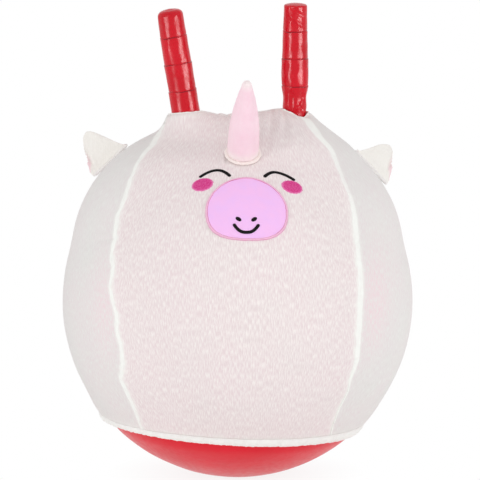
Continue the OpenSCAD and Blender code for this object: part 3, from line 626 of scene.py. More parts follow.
class Bench:
    """Adds nodes to one material and joins them."""

    rows_at_scale_one = 3.183  # rows to a metre that a wave texture has at a scale of 1

    def __init__(self, name: str, follow: Follow) -> None:
        """Starts a material with its shader.

        Args:
            name: the material's name.
            follow: what its pattern follows.
        """
        self.material = bpy.data.materials.new(name)
        self.material.use_nodes = True
        self.tree = self.material.node_tree
        self.tree.nodes.clear()
        self.shader = self.add("ShaderNodeBsdfPrincipled")
        self.join(self.shader.outputs["BSDF"], self.add("ShaderNodeOutputMaterial").inputs["Surface"])
        self.coords = self.add("ShaderNodeTexCoord").outputs[follow.value]

    def add(self, kind: str, **settings: object) -> bpy.types.Node:
        """A new node with its settings."""
        node = self.tree.nodes.new(kind)
        for key, value in settings.items():
            setattr(node, key, value)
        return node

    def join(self, source: Socket, target: Socket) -> None:
        """Joins two sockets."""
        self.tree.links.new(source, target)

    def feed(self, source: Socket, name: str) -> None:
        """Joins a socket to one of the shader's."""
        self.join(source, self.shader.inputs[name])

    def give(self, **values: float) -> None:
        """Sets the shader's own sockets, by name with _ for a space."""
        for key, value in values.items():
            self.shader.inputs[key.replace("_", " ")].default_value = value

    def noise(self, scale: float, detail: float = 2.0,
              stretch: Triple = (1, 1, 1)) -> Socket:
        """Noise from 0 to 1 over the surface.

        Args:
            scale: spots to a metre.
            detail: how many finer layers.
            stretch: how much closer together the spots lie along each axis.

        Returns:
            The socket that gives it.
        """
        mapping = self.add("ShaderNodeMapping")
        mapping.inputs["Scale"].default_value = stretch
        self.join(self.coords, mapping.inputs["Vector"])
        node = self.add("ShaderNodeTexNoise")
        node.inputs["Scale"].default_value = scale
        node.inputs["Detail"].default_value = detail
        self.join(mapping.outputs["Vector"], node.inputs["Vector"])
        return node.outputs["Fac"]

    def rows(self, to_metre: float, crooked: float) -> Socket:
        """Rows side by side, such as knit or thread.

        Args:
            to_metre: rows to a metre.
            crooked: how far they wander.

        Returns:
            The socket that gives their height, 0 to 1.
        """
        node = self.add("ShaderNodeTexWave", wave_type="BANDS", bands_direction="X", wave_profile="SIN")
        node.inputs["Scale"].default_value = to_metre / self.rows_at_scale_one
        node.inputs["Distortion"].default_value = crooked
        node.inputs["Detail"].default_value = 2.0
        node.inputs["Detail Scale"].default_value = 1.4
        self.join(self.coords, node.inputs["Vector"])
        return node.outputs["Fac"]

    def mark(self, name: str) -> Socket:
        """A share that the piece's mesh carries at each point."""
        return self.add("ShaderNodeAttribute", attribute_name=name).outputs["Fac"]

    def span(self, source: Socket, low: float, high: float,
             to_low: float = 0.0, to_high: float = 1.0) -> Socket:
        """Takes one range to another and stops at its ends."""
        node = self.add("ShaderNodeMapRange", clamp=True)
        for key, value in (("From Min", low), ("From Max", high), ("To Min", to_low), ("To Max", to_high)):
            node.inputs[key].default_value = value
        self.join(source, node.inputs["Value"])
        return node.outputs["Result"]

    def sum(self, kind: str, a: Socket, b: Socket | float) -> Socket:
        """Puts two values together, kind being MULTIPLY, ADD and so on."""
        node = self.add("ShaderNodeMath", operation=kind)
        self.join(a, node.inputs[0])
        if isinstance(b, (int, float)):
            node.inputs[1].default_value = b
        else:
            self.join(b, node.inputs[1])
        return node.outputs["Value"]

    def blend(self, share: Socket, first: Colour | Socket, second: Colour | Socket) -> Socket:
        """Goes from one colour to another by share.

        Args:
            share: 0 for the first, 1 for the second.
            first: a screen colour or a socket.
            second: the same.

        Returns:
            The mixed colour's socket.
        """
        node = self.add("ShaderNodeMix", data_type="RGBA", clamp_factor=True)
        self.join(share, node.inputs[0])
        for socket, value in ((node.inputs[6], first), (node.inputs[7], second)):
            if isinstance(value, tuple):
                socket.default_value = srgb(value)
            else:
                self.join(value, socket)
        return node.outputs[2]

    def raise_by(self, height: Socket, distance: float, strength: float = 1.0,
                 over: Socket | None = None) -> Socket:
        """Makes small relief from a height.

        Args:
            height: a value from 0 to 1.
            distance: metres from 0 to 1.
            strength: how much of it shows.
            over: relief that lies under this.

        Returns:
            The normal's socket.
        """
        node = self.add("ShaderNodeBump")
        node.inputs["Strength"].default_value = strength
        node.inputs["Distance"].default_value = distance
        self.join(height, node.inputs["Height"])
        if over is not None:
            self.join(over, node.inputs["Normal"])
        return node.outputs["Normal"]


@dataclass(frozen=True)
class Plush:
    """Short-pile knitted plush, with soft blotches, rows of knit and worn or folded places."""

    name: str
    colour: Colour
    blotch: Colour
    streak: Colour
    edge_tone_and_painted_reflection: Colour
    follow: Follow = Follow.SPACE
    blush: Colour = (242, 222, 226)
    blotch_scale: float = 22.0
    rows_to_metre: float = 420.0
    streak_share: float = 1.0
    pile: float = 0.00035
    sheen: float = 0.12

    def material(self) -> Finish:
        """The plush as a material; it reads the marks edge, 1 where the cloth is folded, and blush."""
        bench = Bench(self.name, self.follow)
        blotches = bench.span(bench.noise(self.blotch_scale, 3.0), 0.35, 0.68)
        colour = bench.blend(blotches, self.colour, self.blotch)
        stretch = (1.0, 0.16, 1.0) if self.follow is Follow.CLOTH else (1.0, 1.0, 0.22)
        colour = bench.blend(bench.mark("blush"), colour, self.blush)
        streaks = bench.span(bench.noise(700.0, 2.0, stretch), 0.40, 0.68)
        colour = bench.blend(bench.sum("MULTIPLY", streaks, self.streak_share), colour, self.streak)
        uneven = bench.span(bench.noise(120.0, 2.0), 0.2, 0.6, 0.55, 1.0)
        edge = bench.sum("MULTIPLY", bench.mark("edge"), uneven)
        colour = bench.blend(edge, colour, self.edge_tone_and_painted_reflection)
        bench.feed(colour, "Base Color")
        knit = bench.raise_by(bench.rows(self.rows_to_metre, 2.4), 0.00009, 0.5)
        pile = bench.raise_by(bench.noise(1000.0, 3.0, stretch), self.pile, 0.55, knit)
        fuzz = bench.raise_by(bench.noise(2600.0, 1.0), self.pile * 0.5, 0.5, pile)
        bench.feed(fuzz, "Normal")
        bench.feed(bench.span(bench.noise(300.0), 0.3, 0.7, 0.86, 1.0), "Roughness")
        bench.give(Specular_IOR_Level=0.12, Sheen_Weight=self.sheen, Sheen_Roughness=0.6)
        return bench.material


@dataclass(frozen=True)
class Vinyl:
    """Glossy inflated vinyl with faint flow marks and a grain."""

    name: str
    colour: Colour
    deep: Colour
    # on the ball this paler colour is a painted reflection of the white floor
    edge_tone_and_painted_reflection: Colour
    # painted shade: the dark colour painted into the rib grooves
    line: Colour = (116, 0, 18)
    roughness: Pair = (0.14, 0.34)
    grain: float = 0.00007
    gloss: float = 0.27

    def material(self) -> Finish:
        """The vinyl as a material; it reads the marks edge, 1 where a paler colour is laid on as a painted
        reflection of the white floor, and line, 1 where painted shade darkens the rib grooves.
        """
        bench = Bench(self.name, Follow.SPACE)
        colour = bench.blend(bench.span(bench.noise(18.0, 3.0), 0.35, 0.7), self.colour, self.deep)
        # painted reflection: the edge mark lays the paler colour on the ball's lower part
        colour = bench.blend(bench.mark("edge"), colour, self.edge_tone_and_painted_reflection)
        # painted shade: the line mark darkens the rib grooves
        colour = bench.blend(bench.mark("line"), colour, self.line)
        bench.feed(colour, "Base Color")
        dull = bench.span(bench.noise(150.0, 3.0), 0.3, 0.7, *self.roughness)
        bench.feed(dull, "Roughness")
        slow = bench.raise_by(bench.noise(70.0, 2.0), 0.0006, 0.35)
        fine = bench.raise_by(bench.noise(900.0, 2.0), self.grain, 0.8, slow)
        bench.feed(fine, "Normal")
        bench.give(Specular_IOR_Level=self.gloss)
        return bench.material


@dataclass(frozen=True)
class Thread:
    """Satin-stitched embroidery thread."""

    name: str
    colour: Colour
    light: Colour
    rim: Colour
    speck: float = 700.0

    def material(self) -> Finish:
        """The thread as a material; it reads the mark edge, 1 at the stitching's rim."""
        bench = Bench(self.name, Follow.SPACE)
        specks = bench.span(bench.noise(self.speck, 3.0), 0.42, 0.72)
        colour = bench.blend(specks, self.colour, self.light)
        colour = bench.blend(bench.mark("edge"), colour, self.rim)
        bench.feed(colour, "Base Color")
        bench.feed(bench.raise_by(bench.noise(2400.0, 2.0), 0.0002, 0.5), "Normal")
        bench.feed(bench.span(bench.noise(1400.0), 0.3, 0.7, 0.45, 0.65), "Roughness")
        bench.give(Specular_IOR_Level=0.12)
        return bench.material


@dataclass(frozen=True)
class Felt:
    """Brushed felt with soft clouds of a second colour."""

    name: str
    colour: Colour
    cloud: Colour

    def material(self) -> Finish:
        """The felt as a material."""
        bench = Bench(self.name, Follow.SPACE)
        clouds = bench.span(bench.noise(55.0, 4.0), 0.35, 0.65)
        colour = bench.blend(clouds, self.colour, self.cloud)
        bench.feed(colour, "Base Color")
        nap = bench.raise_by(bench.noise(1300.0, 3.0), 0.0003, 0.6)
        bench.feed(nap, "Normal")
        bench.feed(bench.span(bench.noise(400.0), 0.3, 0.7, 0.85, 1.0), "Roughness")
        bench.give(Specular_IOR_Level=0.12, Sheen_Weight=0.1, Sheen_Roughness=0.5)
        return bench.material


@dataclass(frozen=True)
class MouldedPlastic:
    """Plain moulded plastic with a fine grain."""

    name: str
    colour: Colour
    shade: Colour

    def material(self) -> Finish:
        """The plastic as a material."""
        bench = Bench(self.name, Follow.SPACE)
        colour = bench.blend(bench.span(bench.noise(140.0, 3.0), 0.35, 0.7), self.colour, self.shade)
        bench.feed(colour, "Base Color")
        bench.feed(bench.raise_by(bench.noise(2000.0, 2.0), 0.00005, 0.7), "Normal")
        bench.feed(bench.span(bench.noise(500.0), 0.3, 0.7, 0.35, 0.5), "Roughness")
        bench.give(Specular_IOR_Level=0.4)
        return bench.material


def made_from(look: Plush | Vinyl | Thread | Felt | MouldedPlastic) -> Finish:
    """A field whose material is made with the object that has it."""
    return field(default_factory=look.material)


@dataclass
class Finishes:
    """Every finish of the object, made once."""

    panel: Finish = made_from(Plush(
        "front plush", (235, 223, 223), (236, 221, 222), (250, 243, 241), (250, 249, 245),
        Follow.CLOTH))
    # less pink than the front plush: partly real, from less stretch, and partly a painted sheen of the pile
    # seen edge-on
    side_panel: Finish = made_from(Plush(
        "side plush", (231, 230, 227), (232, 226, 226), (239, 238, 235), (249, 249, 245),
        Follow.CLOTH, streak_share=0.9))
    seam: Finish = made_from(Plush(
        "seam plush", (242, 238, 236), (240, 235, 234), (247, 245, 242), (252, 253, 249)))
    horn: Finish = made_from(Plush(
        "horn plush", (254, 224, 234), (253, 218, 230), (254, 230, 238), (253, 241, 240),
        blotch_scale=45.0, streak_share=0.4))
    ring: Finish = made_from(Plush(
        "ring plush", (253, 240, 236), (252, 236, 233), (253, 246, 240), (253, 247, 240)))
    ear: Finish = made_from(Plush(
        "ear plush", (248, 245, 239), (246, 242, 237), (251, 248, 243), (250, 219, 225)))
    muzzle: Finish = made_from(Felt(
        "muzzle felt", (253, 200, 250), (249, 200, 253)))
    edging: Finish = made_from(Thread(
        "edging thread", (245, 190, 219), (248, 205, 228), (204, 74, 146)))
    cheek: Finish = made_from(Thread(
        "cheek thread", (216, 50, 132), (228, 100, 166), (236, 138, 192), 620.0))
    black: Finish = made_from(Thread(
        "black thread", (6, 4, 6), (18, 14, 16), (8, 6, 8)))
    handle: Finish = made_from(Vinyl(
        "handle vinyl", (212, 0, 30), (196, 0, 22), (216, 60, 80)))
    # the ball's third colour is a painted reflection of the white floor, laid on paler towards the bottom
    ball: Finish = made_from(Vinyl(
        "ball vinyl", (232, 20, 44), (226, 14, 38), (232, 100, 110),
        roughness=(0.28, 0.40), gloss=0.24))
    plug: Finish = made_from(MouldedPlastic(
        "plug plastic", (238, 235, 230), (230, 226, 220)))


def cloth_grid(columns: int, rows: int, place: Place, size: Pair, edge: Place | None = None,
               blush: Place | None = None) -> Mesh:
    """A grid of cloth with its own chart, laid where place says.

    Args:
        columns: squares across.
        rows: squares up.
        place: gives points in millimetres for shares across and up.
        size: the cloth's width and length in metres, for its chart.
        edge: gives the mark edge for the same shares.
        blush: gives the mark blush for them.

    Returns:
        The mesh, with its faces as the grid has them.
    """
    bm = bmesh.new()
    chart = bm.loops.layers.uv.new("UVMap")
    bmesh.ops.create_grid(bm, x_segments=columns, y_segments=rows, size=0.5, calc_uvs=True)
    bm.verts.ensure_lookup_table()
    share = places(bm.verts)[:, :2] + 0.5
    for name, values in (("edge", edge), ("blush", blush)):
        if values:
            mark(bm, values(share[:, 0], share[:, 1]), name)
    for vert, spot in zip(bm.verts, place(share[:, 0], share[:, 1])):
        vert.co = spot
    for face in bm.faces:
        for loop in face.loops:
            loop[chart].uv = (loop[chart].uv[0] * size[0], loop[chart].uv[1] * size[1])
    return bm


def mark(bm: Mesh, values: Points, name: str = "edge") -> None:
    """Gives each vertex its share of a mark."""
    layer = bm.verts.layers.float.get(name) or bm.verts.layers.float.new(name)
    for vert, value in zip(bm.verts, values):
        vert[layer] = float(value)


def face_outwards(bm: Mesh) -> None:
    """Turns all the faces of an open sheet over if they face the middle of the ball."""
    bm.normal_update()
    if sum(f.normal.dot(f.calc_center_median()) * f.calc_area() for f in bm.faces) < 0:
        bmesh.ops.reverse_faces(bm, faces=bm.faces)


def join_ends(bm: Mesh, closed: bool = True) -> None:
    """Merges points that lie on each other, and turns the faces outwards."""
    bmesh.ops.remove_doubles(bm, verts=bm.verts, dist=MERGE)
    if closed:
        bmesh.ops.recalc_face_normals(bm, faces=bm.faces)
    else:
        face_outwards(bm)


def open_hole(bm: Mesh, start: Points, way: Points, radius: float) -> None:
    """Cuts a round hole about an axis and brings its rim onto the circle.

    Args:
        bm: the mesh.
        start: a point on the axis.
        way: where the axis points; the hole is only on that side.
        radius: the hole's radius.
    """
    bm.verts.ensure_lookup_table()
    p = places(bm.verts) - start
    along = p @ way
    out = p - along[:, None] * way
    far = np.linalg.norm(out, axis=1)
    inside = {v for v, f, a in zip(bm.verts, far, along) if f < radius and a > -CUT_DEPTH}
    gone = [f for f in bm.faces if all(v in inside for v in f.verts)]
    bmesh.ops.delete(bm, geom=gone, context="FACES")
    bm.verts.ensure_lookup_table()
    for vert in [v for v in bm.verts if v in inside]:
        q = np.array(vert.co[:]) - start
        level = q @ way
        side = q - level * way
        vert.co = start + level * way + side * (radius / max(np.linalg.norm(side), 1e-6))


def spun(profile: Sequence[Pair], steps: int) -> Mesh:
    """Turns a profile about +Z.

    Args:
        profile: distances from the axis and heights.
        steps: squares round the axis.

    Returns:
        The closed mesh.
    """
    bm = bmesh.new()
    verts = [bm.verts.new((r, 0.0, z)) for r, z in profile]
    edges = [bm.edges.new(pair) for pair in zip(verts, verts[1:])]
    bmesh.ops.spin(bm, geom=[*verts, *edges], cent=(0, 0, 0), axis=(0, 0, 1), dvec=(0, 0, 0),
                   angle=ROUND, steps=steps, use_merge=True)
    join_ends(bm)
    return bm


def places(verts: Sequence) -> Points:
    """The places of some vertices."""
    return np.array([v.co[:] for v in verts])


def evaluated(piece: Piece) -> Piece:
    """A piece as its modifiers leave it."""
    return piece.evaluated_get(bpy.context.evaluated_depsgraph_get())


def move_to(bm: Mesh, p: Points) -> None:
    """Moves every vertex of a mesh to its place in a list of points."""
    for vert, spot in zip(bm.verts, p):
        vert.co = spot


@dataclass
class Workroom:
    """Turns finished meshes into pieces that ride on the part."""

    form: CoverForm
    filling_frames: int = 20

    def in_frame(self, p: Points) -> Points:
        """Millimetres from the middle of the ball to metres in the part's frame."""
        return (p + np.array([0.0, 0.0, self.form.ball.centre_height])) * MM

    def piece(self, name: str, bm: Mesh, finish: Finish, slot: str, nodes: Sequence[str] = (),
              body: str = "ball", wall: float = 0.0) -> Piece:
        """Makes a piece of a mesh in millimetres.

        Args:
            name: the piece's name.
            bm: its mesh, which is used up.
            finish: its material.
            slot: not used.
            nodes: the part's nodes that it stands for, or none where its name is the node's.
            body: the body that it rides on, or an empty string where it rides on none.
            wall: thickness of cloth to give it inwards, in millimetres.

        Returns:
            The piece.
        """
        mesh = bpy.data.meshes.new(name)
        move_to(bm, self.in_frame(places(bm.verts)))
        bm.to_mesh(mesh)
        bm.free()
        mesh.polygons.foreach_set("use_smooth", [True] * len(mesh.polygons))
        piece = bpy.data.objects.new(name, mesh)
        bpy.context.scene.collection.objects.link(piece)
        mesh.materials.append(finish)
        if wall:
            cloth = piece.modifiers.new("Thickness", "SOLIDIFY")
            cloth.thickness, cloth.offset = wall * MM, -1.0
        if body:
            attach(piece, body)
        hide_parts(*(nodes or [name]))
        log.info("%s: %d faces", name, len(mesh.polygons))
        return piece

    def plump(self, bm: Mesh, voxel: float, cap: float, held_below: float, pressure: float = 4.0) -> Mesh:
        """Fills a closed cloth shape with a cloth simulation.

        Args:
            bm: the shape in millimetres, in its own frame with +Z away from its root; it is used up.
            voxel: the size of the cloth's squares in millimetres.
            cap: how far a point may move, in millimetres.
            held_below: points under this height stay where they are.
            pressure: how hard the filling presses.

        Returns:
            The filled shape, once subdivided.
        """
        scene = bpy.context.scene
        mesh = bpy.data.meshes.new("filling")
        move_to(bm, places(bm.verts) * MM)
        bm.to_mesh(mesh)
        bm.free()
        cloth = bpy.data.objects.new("filling", mesh)
        scene.collection.objects.link(cloth)
        remesh = cloth.modifiers.new("Squares", "REMESH")
        remesh.mode, remesh.voxel_size = "VOXEL", voxel * MM
        cloth.data = bpy.data.meshes.new_from_object(evaluated(cloth))
        cloth.modifiers.clear()
        start = places(cloth.data.vertices)
        held = cloth.vertex_groups.new(name="held")
        held.add([i for i, p in enumerate(start) if p[2] < held_below * MM], 1.0, "REPLACE")
        sim = cloth.modifiers.new("Cloth", "CLOTH")
        sim.settings.use_pressure, sim.settings.uniform_pressure_force = True, pressure
        sim.settings.effector_weights.gravity = 0.0
        sim.settings.vertex_group_mass = "held"
        sim.point_cache.frame_start, sim.point_cache.frame_end = 1, self.filling_frames
        for number in range(1, self.filling_frames + 1):
            scene.frame_set(number)
        filled = evaluated(cloth).data
        moved = places(filled.vertices) - start
        far = np.linalg.norm(moved, axis=1, keepdims=True)
        start = start + moved * np.minimum(1.0, cap * MM / np.maximum(far, 1e-9))
        cloth.modifiers.clear()
        scene.frame_set(1)
        full = bmesh.new()
        full.from_mesh(cloth.data)
        move_to(full, start / MM)
        bmesh.ops.subdivide_edges(full, edges=full.edges, cuts=1, use_grid_fill=True)
        bmesh.ops.smooth_vert(full, verts=full.verts, factor=0.5,
                              use_axis_x=True, use_axis_y=True, use_axis_z=True)
        bpy.data.objects.remove(cloth)
        return full


@dataclass
class Ball:
    """The inflated ball's skin and its valve."""

    room: Workroom
    looks: Finishes
    around: int = 220
    rings: int = 150
    dents: SoftNoise = SoftNoise(60.0, 21)
    dent_rise: float = 0.25
    dented_from: Pair = (50.0, 60.0)
    # where the painted reflection of the white floor starts on the ball, and how strong it is
    painted_reflection_from: Pair = (54.0, 76.0)
    painted_reflection_share: float = 0.45

    def skin(self) -> Piece:
        """The ball with its shoulders, its bulging bare end, its foot and the valve's hole."""
        form = self.room.form.ball
        bm = bmesh.new()
        bmesh.ops.create_uvsphere(bm, u_segments=self.around, v_segments=self.rings, radius=1.0)
        d = unit(places(bm.verts))
        down = form.below(d)
        dent = self.dent_rise * ramp(down, *self.dented_from) * self.dents.at(d * form.radius)
        p = d * (form.reach(d) + dent)[:, None]
        p[:, 2] = np.maximum(p[:, 2], -form.centre_height)
        move_to(bm, p)
        # painted reflection: the ball is painted paler towards the bottom, where it mirrors the white floor
        mark(bm, self.painted_reflection_share * ramp(down, *self.painted_reflection_from) * (1 - 0.5 * ramp(down, 80, 90)))
        way = toward_lat(-form.valve_down, 180.0)
        open_hole(bm, np.array([0.0, 0.0, -form.bulge]), way, form.valve_hole)
        return self.room.piece("ball", bm, self.looks.ball, "red_vinyl", ["ball_shell"])

    def valve(self) -> None:
        """Dresses the valve's seat and plug, whose shapes are right as they are."""
        for node, finish in (("valve_seat", self.looks.ball), ("valve_plug", self.looks.plug)):
            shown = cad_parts[node]
            shown.data.materials.clear()
            shown.data.materials.append(finish)

    def build(self) -> None:
        """Builds the ball."""
        self.skin()
        self.valve()


@dataclass
class Grip:
    """One ribbed handle, from its flared foot inside the cover to its tip."""

    room: Workroom
    looks: Finishes
    side: Side
    length: float
    radii: tuple[Pair, ...]
    creases: tuple[Crease, ...]
    flat_tip: bool
    tip_round: float = 9.0
    rib_pitch: float = 36.0
    rib_step: float = 0.5
    rib_groove: float = 0.55
    foot_flare: float = 9.0
    foot_depth: float = 26.0
    foot_rings: int = 12
    rim: Pair = (2.2, 2.4)
    cap_rise: float = 1.8
    steps: int = 144

    def radius_at(self, z: Points | float) -> Points:
        """The handle's radius without its ribs, smooth through the measured places."""
        zs, rs = np.array(self.radii).T
        fine = np.linspace(zs[0], zs[-1], 200)
        return np.interp(z, fine, smoothed(np.interp(fine, zs, rs), 9))

    def profile(self) -> list[Pair]:
        """The handle's outline from the foot up to the middle of its tip."""
        across, up = self.rim
        shank = self.length - (up + self.cap_rise if self.flat_tip else self.tip_round)
        root = float(self.radius_at(0))
        foot = [(root + self.foot_flare * t**3, -self.foot_depth * t)
                for t in np.linspace(1, 0, self.foot_rings, endpoint=False)]
        body = [(float(self.radius_at(z)), z) for z in np.arange(0.0, shank, 0.45)]
        r = float(self.radius_at(shank))
        if self.flat_tip:
            rim = [(r - across + across * math.cos(a), shank + up * math.sin(a))
                   for a in np.linspace(0, math.pi / 2, 7)]
            cap = [((r - across) * (1 - t), shank + up + self.cap_rise * (1 - (1 - t) ** 2))
                   for t in np.linspace(0.06, 1, 16)]
            return foot + body + rim + cap
        dome = [(r - self.tip_round * 1.05 * (1 - math.cos(a)), shank + self.tip_round * math.sin(a) * 0.86)
                for a in np.linspace(0, math.pi / 2, 12)]
        last_r, last_z = dome[-1]
        crown = [(last_r * (1 - t), last_z + (self.length - last_z) * math.sin(t * math.pi / 2))
                 for t in np.linspace(0.1, 1, 10)]
        return foot + body + dome + crown

    def relief(self, angle: Points, z: Points) -> Points:
        """How far ribs, swelling, creases and slack lift the skin.

        Args:
            angle: degrees round the handle, 0 at the front and growing to +X.
            z: heights above the root.

        Returns:
            Millimetres outwards.
        """
        turn = np.radians(angle)
        lift = 0.3 * np.sin(z / self.length * 7.0) * np.sin(turn + self.side.value)
        for i in (1, 2, 3):
            off = self.rib_offset(angle, z, i)
            tilt = 1.0 + 0.5 * np.sin(turn * 2 + 1.9 * i)
            lift = lift + self.rib_step * tilt * (1 - ramp(off, -0.5, 0.5)) * np.exp(np.minimum(off, 0) / 9.0)
            lift = lift - self.rib_groove * bump(off - 0.4, 0.6)
        flat = stack(np.sin(turn) * 17, np.cos(turn) * 17, z * 0.6)
        lift = lift + 0.18 * SoftNoise(11.0, 40 + self.side.value).at(flat)
        return lift + sum(c.at(angle, z * 2.0) for c in self.creases)

    def rib_offset(self, angle: Points, z: Points, rib: int) -> Points:
        """How far heights lie over a rib, counted from the tip, which runs a little crooked."""
        turn = np.radians(angle)
        place = self.length - rib * self.rib_pitch
        return z - place - 0.5 * np.sin(turn * 2 + place) - 0.3 * np.sin(turn * 5 + 2 * rib)

    def painted_rib_groove_shade(self, angle: Points, z: Points) -> Points:
        """How dark the painted shade in the grooves between the ribs is, broken in places round the handle.
        """
        dark = np.zeros_like(z)
        for i in (1, 2, 3):
            some = np.clip(0.75 + 0.5 * np.sin(np.radians(angle) * 3 + 2.3 * i), 0, 1)
            dark = dark + some * bump(self.rib_offset(angle, z, i), 0.5)
        return np.clip(dark, 0, 1)

    def build(self) -> Piece:
        """Builds the handle and stands it on its root."""
        bm = spun(self.profile(), self.steps)
        p = places(bm.verts)
        r = np.hypot(p[:, 0], p[:, 1])
        angle = np.degrees(np.arctan2(p[:, 0], -p[:, 1]))
        share = ramp(r, 4.0, 12.0) * ramp(p[:, 2], -12, -2)
        # painted shade in the rib grooves, carried by the line mark
        mark(bm, self.painted_rib_groove_shade(angle, p[:, 2]) * share, "line")
        grown = r + self.relief(angle, p[:, 2]) * share
        p[:, :2] *= (grown / np.maximum(r, 1e-6))[:, None]
        form = self.room.form
        move_to(bm, p @ form.handle_turn(self.side).T + form.ball.root(self.side))
        return self.room.piece(f"{self.side.word}_handle", bm, self.looks.handle, "red_vinyl")


@dataclass(frozen=True)
class Cut:
    """The rectangle in metres that a panel is cut from, and how far its seams whiten it in millimetres."""

    width: float
    length: float
    share: float
    white: float

    @property
    def area(self) -> float:
        """The cloth's area, which is the share of the rectangle that is used."""
        return self.width * self.length * self.share


@dataclass
class Cover:
    """The four panels, their seams, the hem and the bands round the handles."""

    room: Workroom
    looks: Finishes
    columns: int = 120
    rows: int = 170
    seam_lift: float = 0.75
    seam_wall: float = 1.2
    hem_thickness: float = 4.4
    hem_chart: float = 165.0
    hem_round: float = 0.72
    hem_round_inside: float = 0.4
    hem_tuck: float = 1.9
    hem_draws: Pair = (9.6, 1.4)
    collar_above: float = 1.4
    collar_round: float = 0.8

    @property
    def form(self) -> CoverForm:
        """The cover's shape."""
        return self.room.form

    @property
    def edge_down(self) -> float:
        """How far down the panels and seams reach, in degrees, a little under the hem's upper edge."""
        return self.form.ball.hem_down + 0.1

    def middle_dirs(self, rear: bool, u: Points, v: Points) -> Points:
        """Directions over the front or back panel, u from seam to seam and v from the hem to the crown."""
        f, s = self.form, 2 * u - 1
        beta = mix(f.hem_start(s, self.edge_down), 90.0, v)
        left, right = (f.seam_run(beta, side, rear) for side in Side)
        straight = f.seam_lambda(beta)
        crooked = np.where(s < 0, left, right) - straight
        d = toward(beta, s * straight + rounded(s, 6 if rear else 3) * crooked)
        return d * REARWARD if rear else d

    def side_dirs(self, side: Side, u: Points, v: Points) -> Points:
        """Directions over a side panel, from its front seam at u 0 to its back seam at 1."""
        f = self.form
        low = float(f.hem_start(float(side.value), self.edge_down))
        beta = mix(low, 89.6, v)
        edges = []
        for rear in (False, True):
            d = toward(beta, side.value * f.seam_run(beta, side, rear))
            around = np.degrees(np.arctan2(side.value * d[:, 0], -d[:, 1]))
            edges.append((np.degrees(np.arcsin(d[:, 2])), around))
        start = toward(np.array([low]), side.value * f.seam_lambda(low))[0]
        lat0 = math.degrees(math.asin(start[2]))
        az0 = math.degrees(math.atan2(side.value * start[0], -start[1]))
        here = mix(edges[0][1], 180 - edges[1][1], u)
        lat = mix(edges[0][0], edges[1][0], u)
        at_hem = f.hem_lat(side.value * mix(az0, 180 - az0, u), self.edge_down) - lat0
        return toward_lat(lat + at_hem * (1 - v) ** 2, side.value * here)

    def panel(self, name: str, dirs: Place, finish: Finish, cut: Cut) -> Piece:
        """Makes one panel of stretched plush.

        Args:
            name: the node that it stands for.
            dirs: its directions from the middle of the ball, by shares across and up.
            finish: its material.
            cut: the flat piece that it is cut from.

        Returns:
            The panel.
        """
        f = self.form

        def edge_tone_and_painted_reflection(u: Points, v: Points) -> Points:
            """Whiter where the cloth is folded, at its seams and its hem."""
            d = dirs(u, v)
            p = d * f.skin
            climb = climb_of(d)
            left, right = (self.seam_half_width(climb, side) for side in Side)
            past = np.maximum(f.seam_distance(d) - np.where(d[..., 0] < 0, left, right) + 1, 0)
            seam = np.exp(-((past / cut.white) ** 1.5)) * self.whiteness(climb, d[..., 0])
            hem = 0.95 * np.exp(-v * cut.length / MM / 5.0)
            ragged = 0.8 + 0.3 * SoftNoise(16.0, 5).at(p)
            return np.clip(np.maximum(seam, hem) * ragged + self.rim_white(d), 0, 1)

        def pink(u: Points, v: Points) -> Points:
            """Faint pink clouds where the lining shows through."""
            p = dirs(u, v) * f.skin
            clouds = 0.5 + 0.5 * SoftNoise(120.0, 6).at(p)
            return np.clip(sum(blush.at(*photo_chart(p)) for blush in f.blushes) + 0.3 * clouds, 0, 1)

        size = (cut.width, cut.length)
        bm = cloth_grid(self.columns, self.rows, lambda u, v: f.point_at(dirs(u, v)), size, edge_tone_and_painted_reflection, pink)
        face_outwards(bm)
        self.open_holes(bm)
        return self.room.piece(name, bm, finish, "pale_plush", wall=f.thickness)

    def whiteness(self, climb: Points, across: Points) -> Points:
        """How white an upright seam is, fainter above the right shoulder, where it is pulled flat."""
        return 1 - 0.65 * bump(climb - 63, 9) * (across > 0)

    def rim_white(self, d: Points) -> Points:
        """White on the panels round the handles' openings."""
        f, total = self.form, 0.0
        for side in Side:
            p = f.on_opening(d, side)[1]
            out = np.maximum(np.hypot(p[..., 0], p[..., 1]) - f.hole(side), 0)
            total = total + 0.9 * bump(out, 5.5) * (d[..., 0] * side.value > 0)
        return total

    def open_holes(self, bm: Mesh) -> None:
        """Cuts both handles' openings in a piece of cloth."""
        for side in Side:
            open_hole(bm, *self.form.opening(side), self.form.hole(side) - 1.2)

    def seam(self, side: Side, rear: bool) -> Piece:
        """Makes one upright seam, whiter, a little proud and of uneven width."""
        f = self.form
        low = float(f.hem_start(float(side.value), self.edge_down))
        flip = REARWARD if rear else 1
        seed = 60 + side.value + (5 if rear else 0)

        def place(u: Points, v: Points) -> Points:
            """Points over the seam: u across it, v from the hem to the handle."""
            beta = mix(low, 88.0, v)
            d = toward(beta, side.value * f.seam_run(beta, side, rear))
            later = toward(beta + 0.5, side.value * f.seam_run(beta + 0.5, side, rear))
            across = unit(np.cross(unit(later - d), d))
            wide = self.seam_half_width(beta, side) + 0.6 * SoftNoise(30.0, seed).at(d * f.skin)
            t = 2 * u - 1
            way = unit(d + across * (t * wide / f.skin)[:, None])
            uneven = 0.8 + 0.35 * SoftNoise(7.0, seed + 1).at(d * f.skin)
            crown = self.seam_lift * (1 - t**2) * uneven
            lift = 0.55 * bump(t * wide, 2.6) + crown - 0.5 * np.abs(t) ** 4
            return f.point_at(way * flip, lift)

